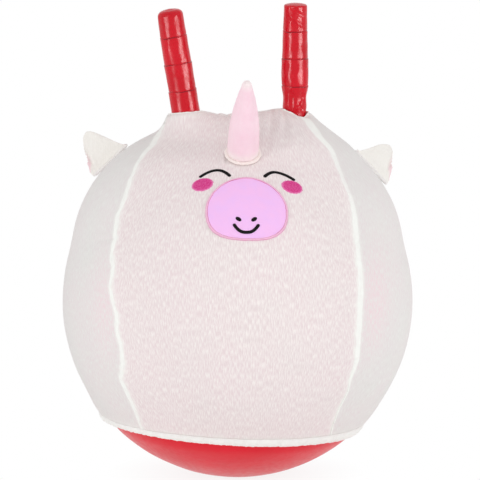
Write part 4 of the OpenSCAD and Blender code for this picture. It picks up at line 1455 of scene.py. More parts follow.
        def white(u: Points, v: Points) -> Points:
            """White along the middle of the seam, softly going over to the panels."""
            beta = mix(low, 88.0, v)
            p = stack(beta * 4, u * 6)
            soft = 1.15 - np.abs(2 * u - 1) ** 2.6 * 0.5 + 0.22 * SoftNoise(9.0, seed + 2).at(p)
            return np.clip(soft, 0, 1) * self.whiteness(beta, np.full_like(beta, side.value))

        bm = cloth_grid(14, 280, place, (0.008, 0.4), white)
        face_outwards(bm)
        self.open_holes(bm)
        name = f"{'back' if rear else 'front'}_{side.word}_seam"
        return self.room.piece(name, bm, self.looks.seam, "white_plush", wall=self.seam_wall)

    def seam_half_width(self, beta: Points, side: Side) -> Points:
        """Half a seam's width, wide over the ball's side and at the handle and narrow near the hem."""
        if side is Side.RIGHT:
            return 1.5 + 3.7 * ramp(beta, -34, -4) - 1.9 * ramp(beta, 44, 58) + 4.2 * ramp(beta, 68, 84)
        return 2.9 + 0.9 * bump(beta - 42, 18) + 0.8 * bump(beta + 22, 14) + 3.4 * ramp(beta, 70, 86)

    def crown_seam(self) -> Piece:
        """Makes the seam over the crown, from one handle to the other."""
        f = self.form
        ends = [math.degrees(math.atan2(f.ball.root(side)[0], f.ball.root(side)[2])) for side in Side]

        def place(u: Points, v: Points) -> Points:
            """Points over the seam: u across it, v from left to right."""
            lam = mix(*ends, v)
            t = 2 * u - 1
            wide = 1.9 + 0.4 * np.sin(lam * 0.9)
            d = unit(toward(90.0 + 0 * lam, lam) + np.array([0.0, 1.0, 0.0]) * (t * wide / f.skin)[:, None])
            return f.point_at(d, self.seam_lift * (1 - np.abs(t) ** 2.2) - 0.5 * np.abs(t) ** 6)

        bm = cloth_grid(12, 120, place, (0.006, 0.14))
        face_outwards(bm)
        self.open_holes(bm)
        return self.room.piece("crown_seam", bm, self.looks.seam, "white_plush", wall=self.seam_wall)

    def hem(self) -> Piece:
        """Makes the folded hem with its gathers and its ragged lower edge."""
        f = self.form
        b = f.ball
        middle = b.hem_down + b.hem_half_angle
        half, thick = b.hem_width / 2, self.hem_thickness / 2
        ring = b.radius + f.seat_gap + thick
        turn = about("Y", b.hem_tilt)

        def place(u: Points, v: Points) -> Points:
            """Points round the folded band: u round the ball, v round its section."""
            a, s = ROUND * u, ROUND * v
            c = stack(np.cos(a), np.sin(a)) * self.hem_chart
            fall = rounded(np.cos(s), self.hem_round) * half
            power = np.where(np.cos(s) < 0, self.hem_round_inside, self.hem_round)
            rise = rounded(np.sin(s), power) * thick
            outer = ramp(rise, 0.0, 1.5)
            lower = ramp(fall, 1.0, 8.0)
            fall = fall + lower * (0.6 * SoftNoise(3.0, 71).at(c) + 0.9 * SoftNoise(45.0, 72).at(c))
            gather = SoftNoise(7.5, 74).at(c) * 0.5 + SoftNoise(2.6, 75).at(c) * 0.22
            swell = f.slack(stack(np.cos(a), np.sin(a))) * (0.8 + 0.2 * ramp(fall, -half, half * 0.4))
            gather = gather * ramp(fall + half, 2.0, 9.0)
            rise = rise + outer * (gather + swell * (1 - 0.35 * ramp(fall, 6, half)))
            rise = rise - outer * self.hem_tuck * (1 - ramp(fall, -half, -2.0))
            drawn_up = mix(*self.hem_draws, 0.5 + 0.5 * np.cos(a)) * (fall + half) / (2 * half)
            down = np.radians(middle) + (fall - drawn_up) / ring
            r = ring + rise
            out = r * np.cos(down)
            return stack(out * np.cos(a), out * np.sin(a), -r * np.sin(down)) @ turn.T

        def white(u: Points, v: Points) -> Points:
            """White along its lower edge, going over to the panels at its upper one."""
            c = stack(np.cos(ROUND * u), np.sin(ROUND * u)) * self.hem_chart
            fall = rounded(np.cos(ROUND * v), self.hem_round) * half
            return ramp(fall + 1.6 * SoftNoise(14.0, 73).at(c), -half - 1.0, -half * 0.15)

        bm = cloth_grid(1100, 28, place, (1.04, 0.05), white)
        join_ends(bm)
        return self.room.piece("hem", bm, self.looks.seam, "white_plush", ["hem_casing", "hem_elastic"])

    def collar(self, side: Side) -> Piece:
        """Makes the gathered band round one handle."""
        f = self.form
        inner, half = f.collar_inner(side), f.collar_thickness / 2
        tall = f.collar_height / 2
        turn = f.opening_turn(side)
        centre = self.collar_above - tall

        def place(u: Points, v: Points) -> Points:
            """Points round the band: u round the handle, v round its section."""
            a, s = ROUND * u, ROUND * v
            c = stack(np.cos(a), np.sin(a)) * inner
            gather = SoftNoise(5.0, 81 + side.value).at(c)
            out = rounded(np.cos(s), self.collar_round) * half
            up = rounded(np.sin(s), self.collar_round) * tall
            out = out + ramp(out, 0.0, 1.2) * (0.3 * gather + 0.2 * SoftNoise(2.2, 84).at(c))
            up = up + ramp(up, 0.5, 3.0) * (0.3 * SoftNoise(12.0, 86 + side.value).at(c) + 0.15 * gather)
            r = inner + half + out
            x, y = r * np.cos(a), r * np.sin(a)
            return stack(x, y, centre + up - f.rim_dip(side, x, y)) @ turn.T + f.opening(side)[0]

        def white(u: Points, v: Points) -> Points:
            """White on the band's upper half, like the panels below it."""
            return ramp(np.sin(ROUND * v), -0.2, 0.8) * (0.75 + 0.25 * np.sin(ROUND * u * 3))

        bm = cloth_grid(260, 20, place, (0.13, 0.02), white)
        join_ends(bm)
        name = f"{side.word}_collar"
        return self.room.piece(name, bm, self.looks.seam, "white_plush", [name, f"{name}_elastic"])

    def build(self) -> None:
        """Builds the cover."""
        middle = (self.looks.panel, Cut(0.350, 0.560, 0.80, 4.5))
        beside = (self.looks.side_panel, Cut(0.360, 0.520, 0.66, 2.2))
        panels = {
            "front_panel": (partial(self.middle_dirs, False), *middle),
            "back_panel": (partial(self.middle_dirs, True), *middle),
            "left_panel": (partial(self.side_dirs, Side.LEFT), *beside),
            "right_panel": (partial(self.side_dirs, Side.RIGHT), *beside),
        }
        cloths = {name: self.panel(name, *given) for name, given in panels.items()}
        for side in Side:
            for rear in (False, True):
                self.seam(side, rear)
        self.crown_seam()
        self.hem()
        for side in Side:
            self.collar(side)
        for name, cloth in cloths.items():
            cut = panels[name][2]
            cut.area


@dataclass
class Horn:
    """The stuffed plush horn and the stitched ring round its foot."""

    room: Workroom
    looks: Finishes
    up: float = 66.0
    turn: float = 4.1
    width: float = 42.0
    height: float = 119.0
    lean: float = 3.6
    tip: float = 14.5
    belly: float = 0.52
    swell: float = 0.11
    slim: float = 0.5
    foot_gap: float = 0.4
    ring: float = 3.0
    ring_tuck: float = 1.2
    ring_swell: float = 1.0
    ring_shift: float = 0.9

    def stand(self) -> tuple[Points, Turn]:
        """Where the horn stands: its foot's middle, and the turn of its own frame."""
        f = self.room.form
        d = toward_lat(self.up, self.turn)
        across = unit(np.cross(UP, d))
        upward = np.cross(d, across)

        def spot(way: Points) -> Points:
            """The place on the plush in a direction."""
            return unit(way) * f.reach(unit(way))

        a = spot(d + across * 0.02) - spot(d - across * 0.02)
        b = spot(d + upward * 0.02) - spot(d - upward * 0.02)
        normal = unit(np.cross(a, b))
        axis = unit(normal + np.array([math.sin(math.radians(self.lean)), 0.0, 0.0]))
        turn = math.atan2(axis[1], axis[0])
        tilt = math.acos(axis[2])
        stood = Matrix.Rotation(turn, 3, "Z") @ Matrix.Rotation(tilt, 3, "Y")
        return spot(d) + normal * f.seat_gap, np.array(stood)

    def radius_at(self, z: float) -> float:
        """The horn's radius at a height over its foot."""
        t = z / (self.height - self.tip / 2)
        bow = math.sin(math.pi * t ** (math.log(0.5) / math.log(self.belly))) if t > 0 else 0.0
        return mix(self.width / 2, self.tip / 2, t) + self.width * self.swell * bow

    def build(self) -> None:
        """Builds the horn and its ring."""
        body = self.height - self.tip / 2
        profile = [(0.0, self.foot_gap)]
        profile += [(self.radius_at(z) - self.slim, max(z, self.foot_gap)) for z in np.linspace(0, body, 34)]
        tip = self.tip / 2 - self.slim
        profile += [(tip * math.cos(a), body + tip * math.sin(a)) for a in np.linspace(0.2, math.pi / 2, 8)]
        bm = self.room.plump(spun(profile, 56), 3.0, 1.2, 3.0)
        p = places(bm.verts)
        side = unit(p * np.array([1, 1, 0.25]) + 1e-9)
        lumps = 0.28 * SoftNoise(16.0, 31).at(p) + 0.16 * SoftNoise(5.0, 32).at(p)
        p = p + side * lumps[:, None] * ramp(p[:, 2], 0.5, 10)[:, None]
        mark(bm, np.maximum(ramp(p[:, 2], body - 9, self.height), 0.9 * (1 - ramp(p[:, 2], 3.0, 18.0))))
        foot, turn = self.stand()
        move_to(bm, p @ turn.T + foot)
        bmesh.ops.recalc_face_normals(bm, faces=bm.faces)
        horn = self.room.piece("horn", bm, self.looks.horn, "pink_plush", ["horn_skin", "horn_stuffing"])
        self.foot_ring(foot, turn)

    def foot_ring(self, foot: Points, turn: Turn) -> Piece:
        """Makes the gathered ring that the horn is sewn on with."""
        f = self.room.form
        middle = self.width / 2 + self.ring / 2 - self.ring_tuck

        def place(u: Points, v: Points) -> Points:
            """Points round the ring: u round the horn, v round its section."""
            a, s = ROUND * u, ROUND * v
            c = stack(np.cos(a), np.sin(a)) * middle
            thick = self.ring / 2 * (0.95 + 0.15 * SoftNoise(9.0, 91).at(c) + 0.05 * SoftNoise(3.0, 92).at(c))
            wide = thick + self.ring_swell * (1 + 0.4 * np.cos(a))
            r = middle + self.ring_shift * np.cos(a) + wide * np.cos(s)
            z = self.ring / 2 + f.seat_gap + thick * np.sin(s)
            return stack(r * np.cos(a), r * np.sin(a), z) @ turn.T + foot

        bm = cloth_grid(240, 14, place, (0.14, 0.01))
        join_ends(bm)
        return self.room.piece("horn_ring", bm, self.looks.ring, "pale_plush")


@dataclass
class Ear:
    """One stuffed ear, pale in front and pink behind, sewn on at its root."""

    room: Workroom
    looks: Finishes
    side: Side
    lean: float
    angle: float
    tip_share: float
    back: float = 15.0
    root_length: float = 64.0
    height: float = 50.0
    thickness: float = 7.5
    roll: float = 6.0
    cup: float = 7.0
    least: float = 0.16
    notch: float = 0.07
    fall: float = 1.7
    bend: float = 7.0
    lowest: float = 1.6
    thinnest: float = 0.8
    filling_rise: float = 0.5

    def edge(self, u: Points) -> Points:
        """Height of the ear's edge, nowhere too low to be filled."""
        return np.maximum(self.outline(u), self.lowest)

    def outline(self, u: Points) -> Points:
        """Height of the ear's edge over its root; u runs along the root from its low end."""
        t = self.tip_share
        rise = np.where(u < t, np.sin(math.pi / 2 * np.clip(u / t, 0, 1)) ** 1.3,
                        np.cos(math.pi / 2 * np.clip((u - t) / (1 - t), 0, 1)) ** self.fall)
        return self.height * (mix(self.least * (1 - u), 1.0, rise) - self.notch * bump(u - 0.17, 0.05))

    def curl(self, u: Points, v: Points) -> Points:
        """How far the ear's middle surface curls forwards."""
        return self.cup * (v * v * (1 - u / 2) + v * (1 - u) ** 2 / 2) * ramp(u, -0.02, 0.16)

    def full(self, u: Points, v: Points) -> Points:
        """How full the ear is, next to nothing at its sewn edges."""
        return np.maximum(np.sin(math.pi * mix(0.03, 0.97, u)) * np.cos(math.pi / 2 * v * 0.96), 0) ** 0.6

    def stand(self) -> tuple[Points, Turn, Turn]:
        """Where the ear stands: the root's middle, the turn of the leaning ear and the turn of the root."""
        f = self.room.form
        base = about("Z", self.side.value * self.back) @ about("Y", self.side.value * self.angle)
        d = base @ UP
        start = d * (float(f.reach(d[None])[0]) + self.roll / 2 + f.seat_gap)
        return start, base @ about("X", -self.lean), base

    def build(self) -> None:
        """Builds the ear and the rolled seam that it is sewn on with."""
        bm = bmesh.new()
        bmesh.ops.create_grid(bm, x_segments=48, y_segments=40, size=0.5)
        bmesh.ops.solidify(bm, geom=bm.faces[:], thickness=0.2)
        flat = places(bm.verts)
        u, v = flat[:, 0] + 0.5, flat[:, 1] + 0.5
        level = np.where(flat[:, 2] > flat[:, 2].mean(), 1.0, -1.0)
        most = self.thickness / 2 - self.filling_rise
        puff = level * mix(self.thinnest, most, self.full(u, v))
        z = mix(0.4, self.edge(u), v)
        local = stack(self.side.value * (0.5 - u) * self.root_length, puff - self.curl(u, v), z)
        move_to(bm, local)
        bmesh.ops.recalc_face_normals(bm, faces=bm.faces)
        bm = self.room.plump(bm, 1.5, 1.6, 2.0, 3.0)
        p = places(bm.verts)
        u = np.clip(0.5 - self.side.value * p[:, 0] / self.root_length, 0, 1)
        v = np.clip(p[:, 2] / self.edge(u), 0, 1)
        behind = ramp(p[:, 1] + self.curl(u, v), -0.2, 0.6)
        rolled = ramp(v, 0.5, 0.82) * (1 - ramp(u, 0.14, 0.28))
        mark(bm, np.maximum(behind, rolled))
        start, turn, base = self.stand()
        move_to(bm, p @ turn.T + start)
        bmesh.ops.recalc_face_normals(bm, faces=bm.faces)
        word = self.side.word
        nodes = [f"{word}_ear_{layer}" for layer in ("front", "lining", "wadding")]
        ear = self.room.piece(f"{word}_ear", bm, self.looks.ear, "white_plush", nodes, body="")
        low, high = (tuple(self.room.in_frame(p)) for p in (start, start + turn @ UP * self.bend))
        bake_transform(ear)
        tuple(low)
        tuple(high)
        self.root_roll(start, base)

    def root_roll(self, start: Points, turn: Turn) -> Piece:
        """Makes the rolled seam at the ear's root."""
        half = self.root_length / 2

        def place(u: Points, v: Points) -> Points:
            """Points round the roll: u along it, v round its section."""
            a = ROUND * v
            x = mix(-half, half, u)
            thick = self.roll / 2 * np.sqrt(np.clip(1 - np.abs(2 * u - 1) ** 9, 0, 1))
            thick = thick * (0.92 + 0.06 * np.sin(x * 0.9))
            return stack(x, thick * np.cos(a), thick * np.sin(a)) @ turn.T + start

        bm = cloth_grid(90, 20, place, (0.064, 0.019))
        join_ends(bm)
        return self.room.piece(f"{self.side.word}_ear_root", bm, self.looks.seam, "white_plush")


@dataclass
class Face:
    """The sleeping animal face: a felt muzzle and embroidery."""

    room: Workroom
    looks: Finishes
    up: float = 41.2
    turn: float = 4.1
    roll: float = 2.5
    muzzle_width: float = 107.6
    muzzle_above: float = 52.3
    muzzle_below: float = 44.8
    muzzle_powers: Pair = (1.9, 2.6)
    patch: float = 1.2
    patch_flat: Pair = (0.1046, 0.096)
    patch_area: float = 0.0078
    edging_width: float = 4.0
    edging_proud: float = 0.85
    edging_threads: int = 430
    edging_wall: float = 1.0
    felt_bow: float = 0.5
    trim: float = 0.15
    eye_line: float = 4.8
    eye_outers: tuple[Pair, Pair] = ((20.5, 8.6), (23.2, 8.8))
    eye_inners: tuple[Pair, Pair] = ((17.2, 11.2), (15.0, 9.6))
    eye_peaks: tuple[Pair, Pair] = ((-39.6, 67.3), (39.2, 65.9))
    cheek_length: float = 28.8
    cheek_height: float = 22.6
    cheek_places: tuple[Pair, Pair] = ((-57.6, 43.5), (60.0, 43.5))
    cheek_tilts: Pair = (6.0, -5.0)
    cheek_proud: float = 1.0
    cheek_row: float = 0.75
    nostril: Pair = (8.6, 5.4)
    nostril_lift: float = 0.5
    nostril_proud: float = 0.8
    nostril_row: float = 0.6
    nostril_out: float = 10.0
    nostril_drop: float = 15.3
    nostril_tilt: float = 38.0
    mouth_line: float = 4.4
    mouth_lift: float = 0.45
    line_proud: float = 0.95
    thread_pitch: float = 0.55
    mouth_span: float = 30.4
    mouth_arch: float = 10.2
    mouth_drop: float = 23.8
    nose_shift: float = -1.0
    stitch_wall: float = 0.8

    def place(self, p: Points, lift: Points | float) -> Points:
        """Points of the face, lifted off the plush.

        Args:
            p: millimetres across and up from the middle of the muzzle, over the plush.
            lift: millimetres off the plush.

        Returns:
            Points in millimetres from the middle of the ball.
        """
        f = self.room.form
        middle, top0 = toward_lat(self.up, self.turn), toward_lat(self.up + 90, self.turn)
        right0 = toward_lat(0.0, self.turn + 90)
        c, s = math.cos(math.radians(self.roll)), math.sin(math.radians(self.roll))
        right, top = c * right0 - s * top0, c * top0 + s * right0
        far = np.maximum(np.linalg.norm(p, axis=-1), 1e-9)
        a = far / f.skin
        ways = p[..., :1] * right + p[..., 1:] * top
        d = np.cos(a)[..., None] * middle + (np.sin(a) / far)[..., None] * ways
        return f.point_at(d, lift)

    def muzzle_edge(self, u: Points, inset: float) -> Points:
        """The muzzle's outline, drawn in by an inset; u goes once round."""
        a = ROUND * u
        upper = np.sin(a) >= 0
        power = np.where(upper, *self.muzzle_powers)
        h = np.where(upper, self.muzzle_above, self.muzzle_below) - inset
        w = self.muzzle_width / 2 - inset
        x = w * rounded(np.cos(a), 2 / power)
        y = h * rounded(np.sin(a), 2 / power)
        return stack(x, y)

    def muzzle(self) -> None:
        """Makes the felt patch and the satin-stitched edging round it."""

        def felt(u: Points, v: Points) -> Points:
            """Points over the patch: u round it, v out from its middle."""
            lift = self.trim + self.patch + self.felt_bow * (1 - v**4)
            return self.place(self.muzzle_edge(u, self.edging_width * 0.5) * v[:, None], lift)

        bm = cloth_grid(240, 44, felt, (0.33, 0.05))
        join_ends(bm, closed=False)
        patch = self.room.piece("muzzle_patch", bm, self.looks.muzzle, "muzzle_felt", wall=self.patch)

        def satin(u: Points, v: Points) -> Points:
            """Points over the edging: u round it, v across it, ridged by its threads."""
            bow = 1 - np.abs(2 * v - 1) ** 2.6
            ridge = 0.12 * np.sin(ROUND * u * self.edging_threads + 2.0 * v)
            lift = self.trim + (self.patch + self.edging_proud) * bow + ridge * bow
            wander = 0.22 * SoftNoise(9.0, 51).at(self.muzzle_edge(u, 0.0))
            inset = self.edging_width * (1 - v)
            half = self.muzzle_width / 2
            out = self.muzzle_edge(u, 0.0) * ((half - inset + wander) / half)[:, None]
            return self.place(out, lift)

        def lines(u: Points, v: Points) -> Points:
            """Darker thread along the inner rim, and in places along the outer one."""
            inner = bump(v - 0.15, 0.15)
            outer = 0.6 * bump(v - 0.93, 0.09)
            p = self.muzzle_edge(u, 0.0)
            some = np.clip(0.55 + 0.6 * SoftNoise(40.0, 52).at(p), 0, 1)
            return np.clip(inner * (0.35 + 0.65 * some) + outer * (0.85 - 0.35 * some), 0, 1)

        bm = cloth_grid(1720, 12, satin, (0.33, 0.004), lines)
        join_ends(bm, closed=False)
        self.room.piece("muzzle_edging", bm, self.looks.edging, "edging_thread", wall=self.edging_wall)

    def line(self, name: str, path: Route, width: float, base: float) -> Piece:
        """Makes an embroidered line along a path, with round ends and threads across it.

        Args:
            name: the piece's name.
            path: gives places on the face for shares along the line.
            width: the line's width.
            base: how far off the plush it lies.

        Returns:
            The piece.
        """
        spots = path(np.linspace(0, 1, 400))
        run = np.concatenate([[0.0], np.cumsum(np.linalg.norm(np.diff(spots, axis=0), axis=1))])
        length, cap = run[-1], width / 2
        threads = int((length + width) / self.thread_pitch)

        def along(at: Points) -> Points:
            """Places on the path at some distances from its start."""
            return stack(*(np.interp(at, run, spots[:, k]) for k in (0, 1)))

        def place(u: Points, v: Points) -> Points:
            """Points over the line: u along it, v across it."""
            at = mix(-cap, length + cap, u)
            on = np.clip(at, 0.4, length - 0.4)
            way = unit(along(on + 0.4) - along(on - 0.4))
            past = np.abs(at - np.clip(at, 0, length)) / cap
            wide = cap * np.sqrt(np.clip(1 - past**2, 0.0, 1))
            t = 2 * v - 1
            ragged = 0.10 * np.sin(ROUND * u * threads) * np.abs(t) ** 4
            side = t * (wide + ragged)
            p = along(np.clip(at, 0, length)) + way * (at - np.clip(at, 0, length))[:, None]
            p = p + stack(-way[:, 1], way[:, 0]) * side[:, None]
            bow = (1 - np.abs(t) ** 2.4) * np.sqrt(np.clip(1 - past**2, 0.04, 1))
            lift = base + self.line_proud * bow + 0.07 * bow * np.sin(ROUND * u * threads)
            return self.place(p, lift)

        bm = cloth_grid(threads * 4, 10, place, (length * MM, width * MM))
        join_ends(bm, closed=False)
        return self.room.piece(name, bm, self.looks.black, "black_thread", wall=self.stitch_wall)

    def eye_path(self, side: Side) -> Route:
        """The line of a closed eye, gentle at its outer end and steep at its inner one."""
        far, fall = self.eye_outers[side.place]
        near, dip = self.eye_inners[side.place]
        x, y = self.eye_peaks[side.place]

        def path(t: Points) -> Points:
            """Places from the outer end to the inner one."""
            s = mix(-far, near, t)
            drop = np.where(s < 0, fall * np.abs(s / far) ** 1.8, dip * np.abs(s / near) ** 2.1)
            return stack(x - side.value * s, y - drop)

        return path

    def mouth_path(self, t: Points) -> Points:
        """The line of the smile, from its left end to its right one."""
        a = mix(-1.0, 1.0, t)
        rise = self.mouth_arch * np.abs(a) ** 2.6
        return stack(self.nose_shift + a * self.mouth_span / 2, rise - self.mouth_drop - self.mouth_arch)

    def cheek(self, side: Side) -> Piece:
        """Makes one cheek, an oval filled with rows of stitches."""
        name = f"{side.word}_cheek"
        turn, (out, up) = math.radians(self.cheek_tilts[side.place]), self.cheek_places[side.place]

        def spot(u: Points, v: Points) -> tuple[Points, Points]:
            """Shares of the oval, -1 to 1 both ways."""
            y = np.sin(math.pi / 2 * (2 * v - 1) * 0.985)
            return np.sqrt(1 - y * y) * np.sin(math.pi / 2 * (2 * u - 1)), y

        def place(u: Points, v: Points) -> Points:
            """Points over the cheek."""
            x, y = spot(u, v)
            far = np.sqrt(np.clip(x * x + y * y, 0, 1))
            px, py = x * self.cheek_length / 2, y * self.cheek_height / 2
            rim = 1 + 0.03 * SoftNoise(5.0, 55 + side.value).at(stack(px, py)) * far**4
            px, py = px * rim, py * rim
            rows = 0.11 * np.sin(ROUND * py / self.cheek_row) + 0.06 * SoftNoise(2.2, 57).at(stack(px, py))
            lift = self.trim + (self.cheek_proud + rows) * (1 - far**5) ** 0.8
            c, s = math.cos(turn), math.sin(turn)
            p = stack(out + px * c - py * s, up + px * s + py * c)
            return self.place(p, lift)

        def pale(u: Points, v: Points) -> Points:
            """The paler, speckled rim."""
            x, y = spot(u, v)
            specks = SoftNoise(1.6, 58 + side.value, 60).at(stack(x * 14, y * 11))
            return np.clip(ramp(np.sqrt(x * x + y * y), 0.78, 0.97) * 0.9 + 0.35 * specks, 0, 1)

        bm = cloth_grid(48, 150, place, (self.cheek_length * MM, self.cheek_height * MM), pale)
        join_ends(bm, closed=False)
        return self.room.piece(name, bm, self.looks.cheek, "cheek_thread", wall=self.stitch_wall)

    def nostrils(self) -> Piece:
        """Makes both nostrils as one piece of two stitched spots."""
        whole = bmesh.new()
        keep = bpy.data.meshes.new("nostrils")
        for side in Side:
            turn = math.radians(side.value * self.nostril_tilt)

            def place(u: Points, v: Points, side: Side = side, turn: float = turn) -> Points:
                """Points over one nostril: u round it, v out from its middle."""
                a = ROUND * u
                x, y = self.nostril[0] / 2 * np.cos(a) * v, self.nostril[1] / 2 * np.sin(a) * v
                rows = 0.05 * np.sin(ROUND * x / self.nostril_row) * (1 - v**4)
                lift = self.trim * 2 + self.patch + self.nostril_lift + self.nostril_proud * (1 - v**3) + rows
                c, s = math.cos(turn), math.sin(turn)
                middle = self.nose_shift + side.value * self.nostril_out
                p = stack(middle + x * c - y * s, -self.nostril_drop + x * s + y * c)
                return self.place(p, lift)

            bm = cloth_grid(48, 14, place, (0.02, 0.004))
            join_ends(bm, closed=False)
            bm.to_mesh(keep)
            bm.free()
            whole.from_mesh(keep)
        bpy.data.meshes.remove(keep)
        return self.room.piece("nostrils", whole, self.looks.black, "black_thread", wall=self.stitch_wall)

    def build(self) -> None:
        """Builds the face."""
        self.muzzle()
        self.nostrils()
        on_felt = self.trim * 2 + self.patch
        self.line("mouth", self.mouth_path, self.mouth_line, on_felt + self.mouth_lift)
        for side in Side:
            self.line(f"{side.word}_eye", self.eye_path(side), self.eye_line, self.trim)
            self.cheek(side)


@dataclass(frozen=True)
class SoftBox:
    """A softbox that faces the object from some metres away."""

    turn: float
    bright: float
    size: Pair
    middle: float
    only_gloss: bool = False
    away: float = 2.0
    aim_height: float = 0.3

    def build(self, name: str) -> None:
        """Makes the lamp, whose face is as many times as bright as a white paper as its field says."""
        data = bpy.data.lights.new(name, "AREA")
        data.shape, data.size, data.size_y = "RECTANGLE", *self.size
        data.energy = self.bright * self.size[0] * self.size[1] * math.pi
        lamp = bpy.data.objects.new(name, data)
        a = math.radians(self.turn)
        lamp.location = (self.away * math.sin(a), -self.away * math.cos(a), self.middle)
        aim = Vector((0, 0, self.aim_height)) - lamp.location
        lamp.rotation_euler = aim.to_track_quat("-Z", "Y").to_euler()
        lamp.visible_camera = False
        lamp.visible_diffuse = not self.only_gloss
        bpy.context.scene.collection.objects.link(lamp)


@dataclass
class Studio:
    """Camera, lamps, world and floor."""

    aim: Triple = (0.00325, 0.01367, 0.30527)
    distance: float = 15.0
    lens: float = 864.0
    film: float = 36.0
    seen_range: Pair = (0.5, 80.0)
    ambient: float = 0.70
    floor_glow: float = 0.34
    floor_size: float = 20.0
    floor_drop: float = 0.0005
    floor_near: float = 0.84
    floor_grey: float = 0.9
    floor_fade: Pair = (0.02, 0.17)
    boxes: tuple[SoftBox, ...] = (
        SoftBox(-38.0, 5.0, (0.32, 1.7), 0.75),
        SoftBox(61.0, 5.0, (0.32, 1.7), 0.75),
        SoftBox(-46.0, 12.0, (0.55, 0.7), 0.34, only_gloss=True),
        SoftBox(50.0, 12.0, (1.1, 0.7), 0.34, only_gloss=True),
    )

    def camera(self) -> None:
        """Makes the camera at the photograph's place."""
        data = bpy.data.cameras.new("camera")
        data.lens, data.sensor_width = self.lens, self.film
        data.clip_start, data.clip_end = self.seen_range
        eye = bpy.data.objects.new("camera", data)
        t = math.radians(PHOTO_TILT)
        eye.location = Vector(self.aim) + Vector((0.0, -math.cos(t), math.sin(t))) * self.distance
        eye.rotation_euler = (math.radians(90 - PHOTO_TILT), 0.0, 0.0)
        bpy.context.scene.collection.objects.link(eye)
        bpy.context.scene.camera = eye

    def world(self) -> None:
        """Makes the pale surroundings, white where they are seen or mirrored."""
        world = bpy.data.worlds.new("surroundings")
        world.use_nodes = True
        tree = world.node_tree
        path = tree.nodes.new("ShaderNodeLightPath")
        seen = path.outputs["Is Camera Ray"]
        for ray in ("Is Glossy Ray", "Is Transmission Ray"):
            either = tree.nodes.new("ShaderNodeMath")
            either.operation = "MAXIMUM"
            tree.links.new(seen, either.inputs[0])
            tree.links.new(path.outputs[ray], either.inputs[1])
            seen = either.outputs["Value"]
        strength = tree.nodes.new("ShaderNodeMapRange")
        strength.inputs["To Min"].default_value = self.ambient
        strength.inputs["To Max"].default_value = 1.0
        tree.links.new(seen, strength.inputs["Value"])
        tree.links.new(strength.outputs["Result"], tree.nodes["Background"].inputs["Strength"])
        tree.nodes["Background"].inputs["Color"].default_value = (1.0, 1.0, 1.0, 1.0)
        bpy.context.scene.world = world

    def floor(self) -> None:
        """Makes the pale floor, which keeps the object's shadow and fades to white."""
        bm = bmesh.new()
        bmesh.ops.create_grid(bm, x_segments=1, y_segments=1, size=self.floor_size)
        mesh = bpy.data.meshes.new("floor")
        bm.to_mesh(mesh)
        bm.free()
        floor = bpy.data.objects.new("floor", mesh)
        floor.location = (0.0, 0.0, -self.floor_drop)
        bpy.context.scene.collection.objects.link(floor)
        mesh.materials.append(self.floor_material())

    def floor_material(self) -> Finish:
        """A pale matt finish that goes over to white away from the object, and where it is seen."""
        material = bpy.data.materials.new("floor")
        material.use_nodes = True
        tree = material.node_tree
        tree.nodes.clear()
        add = tree.nodes.new
        out, join = add("ShaderNodeOutputMaterial"), add("ShaderNodeMixShader")
        matt, glow = add("ShaderNodeBsdfDiffuse"), add("ShaderNodeEmission")
        path, coords = add("ShaderNodeLightPath"), add("ShaderNodeTexCoord")
        far, seen = add("ShaderNodeVectorMath"), add("ShaderNodeMath")
        fade, share = add("ShaderNodeMapRange"), add("ShaderNodeMapRange")
        far.operation, seen.operation = "LENGTH", "MAXIMUM"
        matt.inputs["Color"].default_value = (*[self.floor_grey] * 3, 1.0)
        glow.inputs["Strength"].default_value = 1.0
        fade.inputs["From Min"].default_value, fade.inputs["From Max"].default_value = self.floor_fade
        fade.inputs["To Min"].default_value = self.floor_near
        share.inputs["To Min"].default_value = self.floor_glow
        for source, target in (
            (coords.outputs["Object"], far.inputs[0]),
            (far.outputs["Value"], fade.inputs["Value"]),
            (path.outputs["Is Camera Ray"], seen.inputs[0]),
            (path.outputs["Is Glossy Ray"], seen.inputs[1]),
            (seen.outputs["Value"], share.inputs["Value"]),
            (fade.outputs["Result"], share.inputs["To Max"]),
            (share.outputs["Result"], join.inputs[0]),
            (matt.outputs["BSDF"], join.inputs[1]),
            (glow.outputs["Emission"], join.inputs[2]),
            (join.outputs["Shader"], out.inputs["Surface"]),
        ):
            tree.links.new(source, target)
        return material

    def build(self) -> None:
        """Sets up the studio."""
        self.camera()
        self.world()
        self.floor()
        for i, box in enumerate(self.boxes):
            box.build(f"softbox {i + 1}")
        bpy.context.scene.view_settings.view_transform = "Standard"


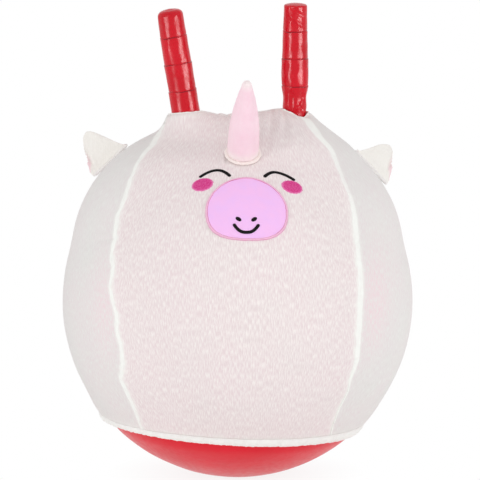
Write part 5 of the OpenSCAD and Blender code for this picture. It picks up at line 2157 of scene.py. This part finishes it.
def left_grip(room: Workroom, looks: Finishes) -> Grip:
    """The left handle, with the sizes and creases that the photograph shows."""
    radii = ((0.0, 18.5), (12.0, 18.2), (30.0, 17.9), (60.0, 17.9), (90.0, 17.6),
             (112.0, 17.0), (136.5, 16.5))
    creases = (
        Crease((25, 60), (33, 150), -0.35, 7.0),
        Crease((55, 40), (48, 190), 0.25, 8.0),
        Crease((-50, 130), (10, 262), 0.2, 9.0),
    )
    return Grip(room, looks, Side.LEFT, 136.5, radii, creases, flat_tip=False)


def right_grip(room: Workroom, looks: Finishes) -> Grip:
    """The right handle, which is slimmer at its root, bulges over it and has a flat tip."""
    radii = ((0.0, 15.0), (6.6, 15.7), (19.8, 14.8), (30.4, 16.6), (40.0, 17.6), (54.2, 17.5),
             (71.4, 16.8), (87.2, 16.3), (104.4, 15.9), (121.6, 15.2), (142.4, 15.0))
    creases = (
        Crease((-44, 264), (38, 226), 1.3, 6.0),
        Crease((-34, 278), (52, 250), -1.0, 6.0),
        Crease((15, 248), (30, 212), -0.8, 6.0),
        Crease((-24, 240), (20, 216), -0.6, 5.0),
        Crease((6, 8), (44, 34), 1.5, 5.0),
        Crease((46, 34), (28, 56), -1.2, 6.0),
        Crease((14, 24), (48, 6), -1.3, 5.0),
        Crease((-36, 14), (-30, 52), 0.7, 7.0),
        Crease((-12, 6), (-14, 60), -0.9, 9.0),
        Crease((60, 20), (62, 60), 0.7, 9.0),
    )
    return Grip(room, looks, Side.RIGHT, 142.4, radii, creases, flat_tip=True)


def main() -> None:
    """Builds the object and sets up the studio."""
    logging.basicConfig(level=logging.INFO, format="%(message)s")
    Studio().build()
    looks = Finishes()
    room = Workroom(CoverForm())
    Ball(room, looks).build()
    left_grip(room, looks).build()
    right_grip(room, looks).build()
    Cover(room, looks).build()
    Horn(room, looks).build()
    Ear(room, looks, Side.LEFT, lean=5.0, angle=44.0, tip_share=0.52, height=48.5).build()
    Ear(room, looks, Side.RIGHT, lean=45.0, angle=47.0, tip_share=0.38, notch=0.13).build()
    Face(room, looks).build()


if __name__ == "__main__":
    main()
